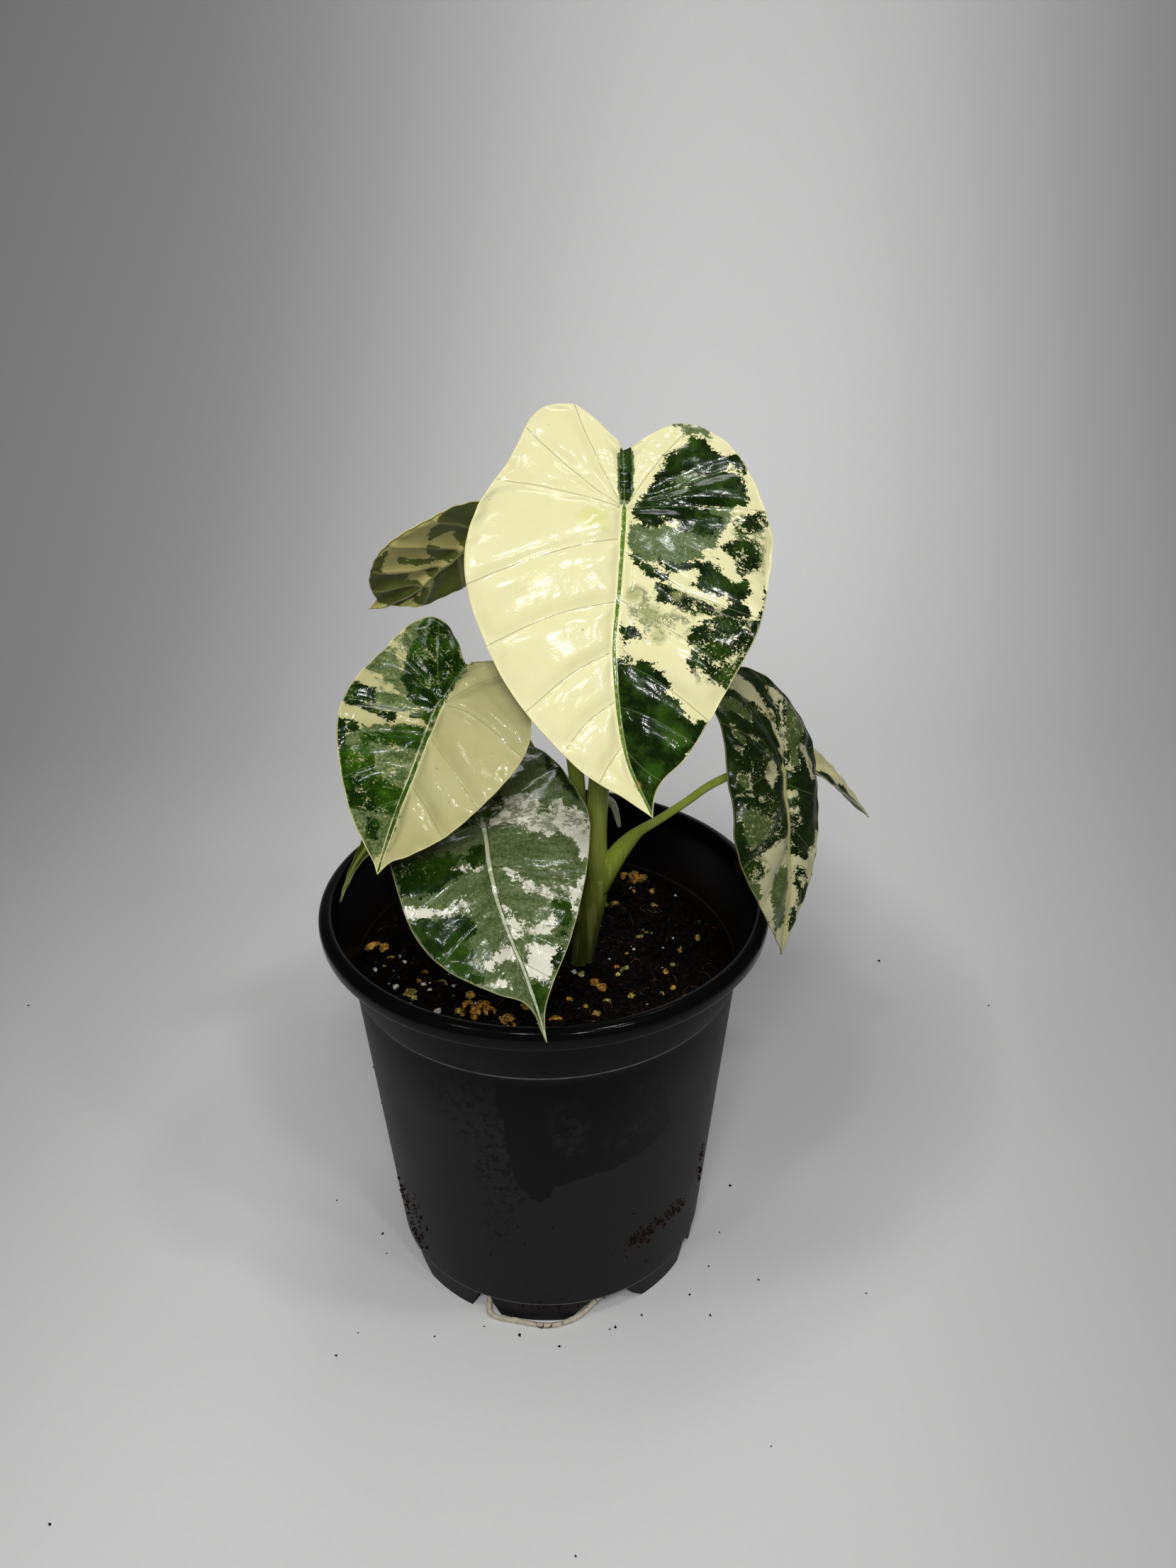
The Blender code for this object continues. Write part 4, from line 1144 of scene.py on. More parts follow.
def blade_finish(name, changes, layer):
    """A glossy variegated blade: cream, grey-green and dark green cells with ragged edges."""
    look = {**LOOK, **changes}
    leaf = Finish(name)
    plan = leaf.attribute("plan", "Vector")
    flow = leaf.attribute("flow", "Vector")
    broad = leaf.noise(plan, 4.2, detail=7, roughness=0.76)
    other = leaf.noise(leaf.stretch(plan, (1, 1, 1), (31, 17, 5)), 3.6, detail=7, roughness=0.76)
    fine = leaf.noise(plan, 0.8, detail=3, roughness=0.6)
    streak = leaf.noise(flow, 2.4, detail=6, roughness=0.72, distortion=0.5)
    soft = leaf.noise(leaf.stretch(plan, (1, 1, 1), (7, 3, 11)), 11.0, detail=3)
    frayed = leaf.span(fine, 0, 1, -2, 2)
    torn = leaf.total(leaf.span(broad, 0, 1, -6, 6), leaf.span(streak, 0, 1, -3.5, 3.5), frayed)
    patchy = leaf.total(leaf.span(other, 0, 1, -6, 6), leaf.span(streak, 0, 1, 3.5, -3.5), frayed)
    wild = leaf.times(leaf.blend(leaf.step(leaf.attribute("calm"), -1.5, 0.5), 1.0, 0.2), look["ragged"])

    fleck = leaf.step(leaf.attribute("fleck"), -0.5, 2.0)
    speckle = leaf.weigh((broad, 0.55), (streak, 0.35), (fine, 0.3))
    holes = leaf.times(fleck, leaf.step(speckle, 0.645, 0.665))
    dark_edge = leaf.total(leaf.attribute("dark"), leaf.times(torn, wild), look["grow"])
    dark = leaf.larger(leaf.less(leaf.step(dark_edge, -0.12, 0.14), holes), 0.0)
    grey_edge = leaf.total(leaf.attribute("grey"), leaf.times(patchy, wild), look["grow"])
    blots = leaf.times(fleck, leaf.step(leaf.weigh((other, 0.7), (streak, 0.3)), 0.47, 0.53))
    grey = leaf.larger(leaf.step(grey_edge, -0.15, 0.2), leaf.times(blots, 0.75))
    flaws = leaf.weigh((other, 0.4), (streak, 0.45), (fine, 0.35))
    flaws = leaf.times(fleck, leaf.step(flaws, 0.665, 0.69))
    grey = leaf.larger(leaf.less(grey, leaf.times(flaws, 0.85)), 0.0)
    green = leaf.larger(dark, grey)

    cream = leaf.lay(leaf.mix(soft, *look["cream"]), (170, 166, 104), leaf.step(fine, 0.68, 0.8), 0.2)
    dots = leaf.times(leaf.step(leaf.cells(plan, 6.5, "F1"), 0.07, 0.04), leaf.step(other, 0.5, 0.56))
    cream = leaf.lay(cream, (122, 108, 62), dots, 0.6)
    deep = leaf.step(leaf.weigh((soft, 0.5), (other, 0.4), (fine, 0.15)), 0.46, 0.68)
    specks = leaf.times(leaf.times(fleck, leaf.step(fine, 0.6, 0.68)), leaf.step(broad, 0.4, 0.52))
    deep = leaf.lay(leaf.mix(deep, *look["dark"]), look["speck"], specks, 0.75)
    dull = leaf.mix(leaf.step(leaf.weigh((streak, 0.6), (fine, 0.5)), 0.42, 0.72), *look["grey"])
    tint = leaf.mix(dark, leaf.mix(grey, cream, dull), deep)
    for place, reach, shade, weight in look["spots"]:
        away = leaf.total(leaf.away(plan, (*place, layer)), leaf.span(other, 0, 1, -reach, reach))
        tint = leaf.lay(tint, shade, leaf.step(away, reach, reach * 0.3), weight)

    vein = leaf.absolute(leaf.attribute("vein"))
    vein_tint = leaf.mix(green, (138, 134, 92), (112, 132, 84))
    tint = leaf.lay(tint, vein_tint, leaf.step(vein, 0.24, 0.08), leaf.blend(green, 0.62, 0.3))
    rib = leaf.absolute(leaf.attribute("rib"))
    tint = leaf.lay(tint, look["rib_side"], leaf.step(rib, 1.6, 1.0), leaf.blend(dark, 0.85, 0.35))
    line = leaf.span(leaf.noise(plan, 2.2, 3), 0.3, 0.5, 0.6, 1.0)
    tint = leaf.lay(tint, look["rib"], leaf.step(rib, 0.9, 0.55), line)
    tint = leaf.lay(tint, look["edge"], leaf.step(leaf.attribute("edge"), 0.5, 0.2), 0.6)

    under = leaf.attribute("under")
    back = leaf.mix(look["under"], tint, look["khaki"])
    back = leaf.lay(back, (158, 154, 104), leaf.step(vein, 0.9, 0.4), 0.5)
    tint = leaf.mix(under, tint, back)

    net = leaf.step(leaf.cells(plan, 1.9), 0.12, 0.0)
    grain = leaf.noise(plan, 0.45, detail=2)
    ripple = leaf.noise(leaf.stretch(flow, (1.3, 0.6, 1), (3, 5, 7)), 6.0, detail=2, roughness=0.45)
    wrinkle = leaf.noise(leaf.stretch(flow, (1.8, 0.7, 1), (9, 2, 4)), 1.8, detail=2)
    height = leaf.weigh((net, -0.02), (grain, 0.008), (wrinkle, 0.1), (ripple, 0.26))
    worn_gloss = leaf.span(soft, 0.3, 0.7, look["rough"] - 0.03, look["rough"] + 0.05)
    rough = leaf.total(worn_gloss, leaf.times(under, 0.2))
    return leaf.shade(base=tint, rough=rough, normal=leaf.bump(height, 0.8, 0.5), ior=1.45, specular=0.42,
                      subsurface=0.06, radius=(1.0, 0.8, 0.3), subsurface_scale=1.2 * MM)


BLADES = {}
BLADES["leaf_top"] = Blade(
    joint=(27.8, -5.0, 304.2), tip=(33.4, -66.0, 226.7), roll=0, fold=(0.16, 0.16), cup=(3, 3), arch=4,
    rows=24, detail=(9, 60),
    rib=[(-2, -21), (0, 0), (4, 25), (8, 50), (7, 79), (0, 99)],
    left=[(4, -31), (13, -39), (25, -36), (34, -21), (46, -4), (52, 20), (47, 43), (37, 64),
        (22, 83), (8, 93)],
    right=[(-8, -23), (-17, -29), (-28, -28), (-39, -17), (-46, 5), (-47, 17), (-38, 42),
        (-27, 60), (-13, 80), (-4, 88), (-1, 93)],
    waves=[(1, -2, -12, 12), (1, 2.5, 18, 14), (1, -2, 60, 14), (-1, -2.5, 20, 14), (-1, 2, 48, 12),
        (-1, -2.5, 72, 12)],
    veins=[((0, 0), (7, -19), (12, -38)), ((0, 0), (14, -13), (30, -32)), ((0, 0), (19, -7), (44, -15)),
        ((2, 10), (25, 15), (52, 25)), ((5, 31), (25, 35), (48, 44)), ((8, 47), (22, 54), (37, 65)),
        ((9, 63), (18, 69), (27, 79)), ((8, 77), (12, 82), (16, 88)), ((0, 0), (-10, -13), (-25, -29)),
        ((0, 0), (-20, -7), (-42, -14)), ((0, 0), (-20, 1), (-46, 3)), ((1, 15), (-15, 28), (-38, 40)),
        ((4, 31), (-11, 43), (-29, 58)), ((8, 49), (-5, 58), (-20, 71)), ((9, 64), (-2, 69), (-15, 78)),
        ((7, 78), (2, 84), (-4, 89))],
    patches=[
        ("grey", [(-0.9, -20), (-4.5, -20.5), (-4, -14), (-2.8, -6), (-1, -2), (0.3, -2), (0.6, -8),
            (0, -14)]),
        ("dark", [(-2, -21.5), (-3.8, -21), (-3.2, -14), (-2.2, -6), (-1, -3), (-0.4, -4), (-0.4, -11)]),
        ("calm", [(3, -23), (-7, -23), (-6, -8), (-2, 1), (3, 1)]),
        ("dark", [(-4, -1), (-9, -6), (-13, -11), (-15, -16), (-21, -20), (-24, -23), (-28, -23),
            (-29, -20), (-31, -17), (-35, -15), (-33, -10), (-37, -9.5), (-39, -4), (-38, 0.5), (-20, 1),
            (-19, 4), (-16, 6), (-12, 5), (-9, 7), (-5, 7), (-3, 3)]),
        ("grey", [(-16, -10), (-24, -12), (-27, -9), (-22, -7), (-17, -6)]),
        ("fleck", [(-9, -3), (-12, -9), (-20, -10), (-27, -12), (-28, -8), (-22, -4), (-14, -1)]),
        ("grey", [(-2, 7), (-10, 8), (-15, 8), (-19, 3), (-22, 1.8), (-34, 2), (-33, 5), (-30, 9),
            (-29, 11), (-25, 15), (-22, 18), (-15, 20), (-8, 19), (-2, 17), (0, 12)]),
        ("dark", [(-14, 3), (-20, 2.5), (-26, 3), (-30, 6), (-29, 10), (-22, 11), (-17, 8)]),
        ("dark", [(-1, 17), (-5, 20), (-9, 23), (-10, 25), (-6, 24)]),
        ("dark", [(-9, 19.5), (-14, 21), (-20, 20.5), (-18, 22.5), (-12, 22.5)]),
        ("dark", [(-20, 20.5), (-26, 20.5), (-29, 24), (-31, 27.5), (-35, 27.5), (-36, 31), (-33, 33),
            (-35, 38), (-30, 41), (-27, 41), (-27, 37), (-31, 34), (-29, 30), (-24, 30), (-20, 27),
            (-22, 24)]),
        ("dark", [(-35, 7), (-42, 3.5), (-45, 6), (-42, 9), (-36, 11)]),
        ("dark", [(-30, 15), (-36, 12), (-42, 14), (-42, 18), (-40, 22), (-34, 23), (-34, 19), (-31, 17)]),
        ("dark", [(-35, -15), (-39, -17), (-40, -12), (-37, -12)]),
        ("fleck", [(-7, 26), (-12, 27), (-20, 31), (-27, 35), (-27, 40), (-18, 39), (-10, 36)]),
        ("dark", [(-7, 27), (-11, 28), (-17, 32), (-24, 34), (-25, 38), (-17, 37), (-12, 34), (-7, 32)]),
        ("dark", [(-17, 42), (-20, 41), (-25, 40), (-30, 41), (-33, 42), (-33, 47), (-30, 50), (-26, 51),
            (-25, 48), (-20, 47), (-16, 46)]),
        ("dark", [(-13, 52), (-16, 50), (-22, 47), (-27, 50), (-25, 53), (-28, 56), (-25, 60), (-20, 57)]),
        ("fleck", [(3, 29), (0, 25), (-6, 29), (-9, 35), (-17, 38), (-19, 42), (-14, 45), (-5, 47),
            (-1, 46), (3, 38)]),
        ("dark", [(5, 40), (2, 40), (0, 43), (4, 45)]),
        ("calm", [(10.5, 48), (6.5, 48), (6.4, 60), (6, 75), (3, 88), (-0.6, 97), (3, 98), (8, 88),
            (10, 75)]),
        ("fleck", [(-33, 3), (-46, 3), (-44, 24), (-32, 24)]),
        ("fleck", [(-20, 40), (-36, 40), (-30, 60), (-16, 60), (-14, 50)]),
        ("dark", [(7.2, 50), (3, 51), (-2, 53), (-5, 56), (-8, 59), (-7, 62), (-11, 66), (-11, 69),
            (-4, 67), (2, 67), (7.2, 66)]),
        ("dark", [(7.3, 62), (7, 70), (6.1, 79), (3.2, 90), (-0.8, 98), (-2, 91), (-8, 85), (-13, 80),
            (-20, 71), (-14, 71.5), (-8, 68), (0, 65)]),
        ("dark", [(-43, 28), (-41, 36), (-36, 42), (-31, 52), (-26, 60), (-28, 60), (-34, 51), (-39, 42),
            (-43, 35)]),
        ("grey", [(-19, -30), (-28, -29), (-30, -24), (-24, -25)]),
    ],
    look={"cream": ((230, 226, 182), (224, 218, 162)), "rib": (84, 116, 24), "grow": 0.75, "ragged": 0.9,
        "spots": [((10, 4), 7, (206, 208, 112), 0.5), ((4, 89), 1.8, (158, 112, 66), 0.85),
        ((0, 29), 3.4, (150, 158, 98), 0.7), ((-4, 37), 4.4, (146, 154, 98), 0.7),
        ((-6, 44), 3.2, (154, 160, 106), 0.6), ((-13, 31), 2.6, (150, 158, 98), 0.6),
        ((-9, 76), 6, (66, 106, 26), 0.5), ((-1, 85), 5, (60, 100, 24), 0.5)]},
)
BLADES["leaf_left"] = Blade(
    joint=(-31.4, -32.0, 250.6), tip=(-51.2, -68.0, 209.9), roll=-14, fold=(0.25, 0.2), cup=(2.5, 2.5),
    arch=4, detail=(8, 46),
    rib=[(-1.5, -16), (0, 0), (-0.5, 23), (0, 40), (0, 58)],
    left=[(5, -24), (13, -29.5), (20, -25), (26, -7), (28, 10), (23, 26), (14, 42), (6, 51),
        (2, 55)],
    right=[(-5, -17), (-12, -20), (-22, -14), (-30, -2), (-32, 9), (-28, 24), (-19, 40),
        (-9, 49.5), (-3, 53.5)],
    waves=[(1, -3, -12, 9), (1, 2.5, 22, 10), (-1, -2, 12, 12)],
    veins=[((0, 0), (6, -12), (13, -29)), ((0, 0), (12, -9), (25, -14)), ((0, 3), (12, 6), (28, 8)),
        ((0, 12), (12, 15), (25, 22)), ((0, 22), (10, 26), (19, 34)), ((0, 34), (5, 38), (11, 46)),
        ((-1, -1), (-8, -9), (-17, -18)), ((-1, 0), (-12, 1.5), (-31, 10)),
        ((-1, 12), (-10, 19), (-25, 31)), ((0, 28), (-8, 34), (-17, 42))],
    # Painted shade: the cream of this blade is darker than the others', as it faces away from the light
    look={"cream": ((186, 182, 136), (174, 168, 110)), "rib": (44, 72, 12), "rib_side": (204, 202, 148),
        "grey": ((60, 78, 40), (124, 136, 86)), "dark": ((10, 34, 0), (52, 88, 8)), "ragged": 0.55},
    patches=[
        ("grey", [(-2.5, -16), (1.5, -18), (4, -23), (8.5, -29), (13, -32), (21, -28), (28, -10), (31, 10),
            (25, 28), (15, 45), (3, 57), (-0.3, 50), (-0.3, 0)]),
        ("cream", [(27, -23), (21.5, -22), (20, -17), (19, -13.5), (21, -13.5), (28, -13.5)]),
        ("cream", [(20, -16), (17, -13.5), (15.5, -9.5), (14.5, -5), (16, -6), (18, -9), (20.5, -12.5)]),
        ("cream", [(31, -4), (21, -2), (17, 0.5), (13.5, 1), (10, 4), (6, 4.5), (2.5, 3.5), (0.3, 5),
            (0.3, 9), (4, 10.3), (10.8, 12.6), (19.4, 17.2), (22, 17.5), (21.5, 21.5), (23.5, 21.5),
            (26, 17), (31, 16), (31, 11), (19.4, 10.6), (11, 9.2), (9, 6.5), (13, 3), (20, 3.5), (31, 3)]),
        ("dark", [(-2, -16), (1.5, -18), (4, -23), (8.5, -29), (13, -32), (18, -30), (17, -22), (16, -18),
            (16.3, -10), (14.5, -8), (14, -3), (11.4, -1.5), (10, 2), (6.5, 3.5), (5, 4), (0.4, 3)]),
        ("fleck", [(0, -12), (8, -27), (18, -27), (17, -12), (11, -1), (3, -3)]),
        ("fleck", [(26, -12), (24, -20), (17, -22), (15, -6), (14, 2), (24, 2)]),
        ("grey", [(19, 2.5), (15.8, 3.8), (12, 2.5), (8, 3), (5, 4.2), (9, 5.8), (12, 6.2), (13, 8),
            (16, 9.6), (19, 10), (19, 6)]),
        ("dark", [(29, 2.5), (20, 3), (18.4, 7), (18.6, 10.7), (24, 11.5), (29, 10)]),
        ("dark", [(6.5, 9), (6.5, 6), (4, 4), (0.5, 3.5), (0.5, 7.5), (4, 7)]),
        ("dark", [(17.2, 10.8), (11, 8.9), (11, 11), (15, 11.8)]),
        ("fleck", [(29, 2), (18, 2), (11, 5), (14, 11), (27, 11)]),
        ("dark", [(0.2, 10.4), (4, 11), (8.6, 12.8), (15, 17.6), (19.4, 18), (17, 21), (11, 20), (4, 18),
            (0.4, 18)]),
        ("dark", [(24, 24), (20, 24), (15, 21), (12, 24), (10, 29), (4, 31), (0.2, 31), (0.2, 39), (8, 41),
            (14, 41), (18, 34), (22, 30)]),
        ("dark", [(28, 15), (24, 16), (22.5, 21), (21, 26), (24, 24), (27, 20)]),
        ("dark", [(24, 16), (20.5, 16.2), (19.4, 18), (21.5, 19)]),
        ("fleck", [(20, 17), (10, 17), (1, 19), (1, 30), (8, 41), (16, 37), (20, 28)]),
        ("dark", [(8, 42), (3.5, 42), (3, 47.8), (6.5, 49)]),
        ("fleck", [(14, 37), (2, 36), (0, 44), (6, 52)]),
        ("cream", [(27, 26), (22.5, 25), (19, 33), (16.4, 37), (17, 40), (24, 34)]),
    ],
)
BLADES["leaf_front"] = Blade(
    joint=(-20.0, -32.0, 206.2), tip=(-0.2, -88.0, 158.2), roll=0, fold=(0.16, 0.16), cup=(2.5, 2.5),
    arch=4, rows=22, detail=(8, 48),
    rib=[(0, -17), (0, 0), (2.5, 17), (3.5, 34), (1, 56), (0, 76)],
    left=[(4, -26), (12, -33), (21, -31), (30, -20), (34, -5), (34.5, 15), (33, 33), (26, 47),
        (14, 57), (5, 62), (2, 66), (1, 71)],
    right=[(-4, -26), (-12, -33), (-21, -31), (-31, -20), (-36, -4), (-35, 8), (-25, 30),
        (-16, 46), (-7, 58), (-2.5, 65), (-0.8, 70)],
    waves=[(1, 2, 5, 10), (1, -2, 40, 12), (-1, -2, -5, 12), (-1, 2, 28, 10)],
    veins=[((0, 0), (5, -14), (12, -32)), ((0, 0), (14, -8), (31, -16)), ((0, 0), (16, 3), (35, 12)),
        ((2.5, 15), (16, 20), (34, 29)), ((3.5, 31), (14, 36), (28, 46)), ((2.5, 46), (8, 51), (14, 57)),
        ((0, 0), (-7, -13), (-13, -32)), ((0, 0), (-15, -9), (-32, -17)), ((0, 0), (-16, 1), (-36, 3)),
        ((2, 15), (-12, 21), (-29, 24)), ((3, 21), (-8, 28), (-22, 36)), ((3, 37), (-5, 43), (-14, 50)),
        ((1, 50), (-3, 54), (-7, 58))],
    ground="grey",
    look={"cream": ((226, 224, 208), (210, 208, 186)), "rib": (176, 182, 150), "rib_side": (52, 74, 28),
        "grey": ((64, 82, 40), (112, 124, 86)), "edge": (178, 180, 130),
        "dark": ((16, 36, 2), (46, 74, 14)), "ragged": 0.95},
    patches=[
        ("fleck", [(-8, -6), (-16, -10), (-24, -4), (-32, 6), (-26, 12), (-12, 12), (-6, 4)]),
        ("fleck", [(-6, 20), (-26, 20), (-24, 30), (-14, 36), (-6, 30)]),
        ("fleck", [(-1, 34), (-12, 34), (-12, 44), (-2, 44)]),
        ("dark", [(34, 9), (28, 9), (20, 10), (10, 11), (5, 8), (2, 9), (3, 13), (8, 15), (14, 18),
            (20, 20), (28, 22), (34, 20)]),
        ("fleck", [(32, 8), (22, 8), (20, 15), (26, 19), (33, 16)]),
        ("dark", [(35, 28), (28, 28), (22, 30), (14, 32), (13, 36), (18, 40), (17, 46), (16, 53), (22, 53),
            (29, 46), (34, 37)]),
        ("dark", [(12, 0), (3, 0), (1, -5), (3, -8), (12, -6)]),
        ("dark", [(-13, 30), (-18, 31), (-21, 34), (-17, 38), (-15, 46), (-12, 45), (-13, 38)]),
        ("dark", [(-2, -3), (-6, -8), (-9, -9), (-8, -5), (-4, -1)]),
        ("dark", [(-29, -22), (-33, -14), (-37, -2), (-34, -1), (-32, -8), (-29, -14)]),
        ("dark", [(1, 57), (-4, 57), (-5, 61), (-2, 66), (0, 67)]),
        ("dark", [(-9, 49), (-13, 48), (-10, 55), (-8, 56)]),
        ("dark", [(28, -30), (12, -34), (6, -26), (14, -16), (30, -16)]),
        ("cream", [(35, 24), (27, 26), (21, 28), (15, 25), (14, 29), (22, 30.5), (35, 29)]),
        ("cream", [(5, 15.5), (10, 17.5), (16, 15), (12, 13.5)]),
        ("cream", [(-2, -1), (-7, -3), (-10, -7), (-15, -9), (-21, -5), (-20, 1), (-24, 4), (-24, -1),
            (-27.5, -3), (-29, 1), (-33, 1), (-35, 10), (-31, 20), (-27, 22), (-26.5, 14), (-24, 10),
            (-19, 11), (-14, 6), (-8, 3), (-2, 1.5)]),
        ("fleck", [(-3, -6), (-17, -10), (-22, -4), (-34, 0), (-33, 14), (-24, 12), (-14, 10), (-4, 4)]),
        ("cream", [(-2, 18), (-7, 24), (-12, 28), (-16, 31), (-22, 31), (-28, 24), (-26, 30), (-19, 38),
            (-18, 33), (-14, 32), (-7, 27.5), (-2, 21)]),
        ("cream", [(2.5, 30), (0, 35), (-3, 40), (-9, 39), (-13, 36), (-13, 41), (-9, 43), (-4, 41.5),
            (1, 42), (3, 40)]),
        ("cream", [(-2, 46), (-8, 45), (-11, 48), (-9, 53), (-6, 57), (-2, 57), (0.5, 54), (0.5, 50)]),
        ("cream", [(4, 42), (8, 46), (14, 47), (17, 50), (12, 51), (6, 48), (3, 51)]),
        ("cream", [(9, 53), (13, 55), (8, 57)]),
        ("fleck", [(13, 21), (5, 22), (6, 34), (14, 36), (20, 30)]),
        ("cream", [(-33, 8), (-37, 6), (-33, 20), (-26, 32), (-18, 44), (-20, 39), (-28, 24)]),
    ],
)
BLADES["leaf_right"] = Blade(
    joint=(85.6, 0.0, 207.1), tip=(83.5, -30.0, 148.5), roll=-50, fold=(0.2, 0.3), cup=(12, 11), arch=5,
    detail=(8, 44),
    rib=[(-2, -20), (-1.5, -9), (0, 0), (2.5, 12), (3, 25), (2, 51), (0, 66)],
    left=[(1.8, -24.5), (6, -30), (9, -35), (15, -37), (22, -32), (26, -20), (27, -2), (29, 14),
        (30, 24), (26, 37), (16, 51), (7, 60), (2, 64)],
    right=[(0.5, -25), (3.5, -30), (4, -34), (-1, -36.5), (-10, -33), (-17, -21), (-22, -8),
        (-19, 3), (-15, 14), (-10, 32), (-5, 46), (-1, 58)],
    waves=[(1, 2, -14, 8), (1, -2, 5, 8), (-1, -2, 0, 12)],
    droop=(0, 2),
    veins=[((0, 0), (6, -14), (14, -36)), ((0, 0), (14, -10), (27, -16)), ((0, 0), (14, 3), (29, 11)),
        ((2.5, 12), (11, 20), (27, 34)), ((3, 27), (10, 34), (18, 48)), ((2.5, 42), (6, 48), (9, 58)),
        ((0, 0), (-4, -14), (-8, -33)), ((0, 0), (-10, -6), (-22, -8)), ((1, 5), (-7, 8), (-16, 10)),
        ((3, 20), (-3, 25), (-10, 31)), ((3, 35), (-1, 39), (-6, 45))],
    ground="dark",
    look={"cream": ((182, 179, 144), (166, 163, 122)), "rib": (166, 166, 112), "rib_side": (160, 160, 108),
        "grey": ((56, 70, 32), (90, 103, 60)), "dark": ((11, 26, 1), (34, 53, 8)), "edge": (138, 140, 96),
        "rough": 0.15, "ragged": 0.7, "speck": (128, 138, 70)},
    patches=[
        ("fleck", [(8, -6), (24, -8), (24, 6), (8, 2)]),
        ("cream", [(5, 22), (12, 25), (20, 29), (28, 32), (25, 42), (18, 51), (10, 58), (2, 65), (0, 66),
            (-5, 50), (2, 38), (3, 30)]),
        ("cream", [(3, 30.5), (-3, 31), (-9, 28), (-10, 22), (-15, 20), (-12, 28), (-9, 36), (-6, 46),
            (-1, 60), (2, 50)]),
        ("grey", [(13, 36), (6, 33), (4, 40), (5, 55), (9, 57), (13, 50), (14, 43)]),
        ("dark", [(0, 34), (-4, 35), (-6, 41), (-5.5, 47), (-2, 48), (-2, 44), (0, 40)]),
        ("cream", [(-2, 37.5), (-4, 38.5), (-4, 41.5), (-2, 42)]),
        ("dark", [(0.5, 49), (-2, 50), (-2.5, 56), (-0.5, 58)]),
        ("dark", [(28, 29), (21, 31), (18, 35), (22, 38), (28, 38)]),
        ("grey", [(25, 38), (21, 39), (19, 44), (21, 47), (25, 42)]),
        ("grey", [(-6, 43), (-3.5, 52), (-2.5, 56), (-4, 54), (-8, 46)]),
        ("cream", [(2, 8), (-2.5, 7.6), (-2.8, 10.6), (1.6, 10.6)]),
        ("cream", [(1.6, 14), (-1.4, 13.6), (-1.6, 16.4), (1.4, 16)]),
        ("fleck", [(-3, 11), (-3, 30), (3, 30), (2, 11)]),
        ("fleck", [(-5, -28), (-14, -22), (-18, -6), (-12, 6), (-9, -6)]),
        ("fleck", [(20, -12), (12, -12), (5, -5), (12, 4), (18, 2)]),
        ("fleck", [(28, 29), (18, 30), (15, 35), (20, 39), (28, 42)]),
        ("grey", [(-4.5, -12), (-9, -10), (-10, -4), (-7, 0), (-4.5, -1), (-4, -6)]),
        ("cream", [(-0.5, -1), (-4, -2), (-5, 0.5), (-2, 1.5)]),
        ("fleck", [(28, 8), (10, 8), (6, 26), (26, 30)]),
        ("cream", [(17, -28), (11, -34), (4, -29), (1, -22), (-2.5, -19), (-3, -10), (-2, -2), (0.5, -4),
            (1, -14), (4, -20), (10, -24)]),
        ("cream", [(-2, -2), (-5, -10), (-8, -20), (-10, -25), (-6, -20), (-3.5, -11)]),
        ("cream", [(-11, -9), (-15, -8), (-15.5, -2), (-14, 4), (-11, 5), (-12, -2)]),
        ("cream", [(-6, -29), (-9.5, -29), (-9.5, -24), (-6, -23)]),
        ("cream", [(7, -3), (11, -1), (14, 6), (11, 7), (8, 3), (4, 1)]),
        ("grey", [(23, -24), (17, -24), (11, -19), (14, -15), (19, -18), (25, -20)]),
        ("grey", [(22, -15), (18, -10), (20, -8), (24, -13)]),
        ("grey", [(27, 14), (22, 13), (19, 16), (12, 18), (15, 21), (20, 26), (25, 27), (27, 20)]),
        ("grey", [(23, 2), (19, 2), (20, 8), (25, 5)]),
        ("grey", [(-7, -17), (-12, -25), (-17, -23), (-15, -15), (-11, -9), (-6, -3)]),
    ],
)
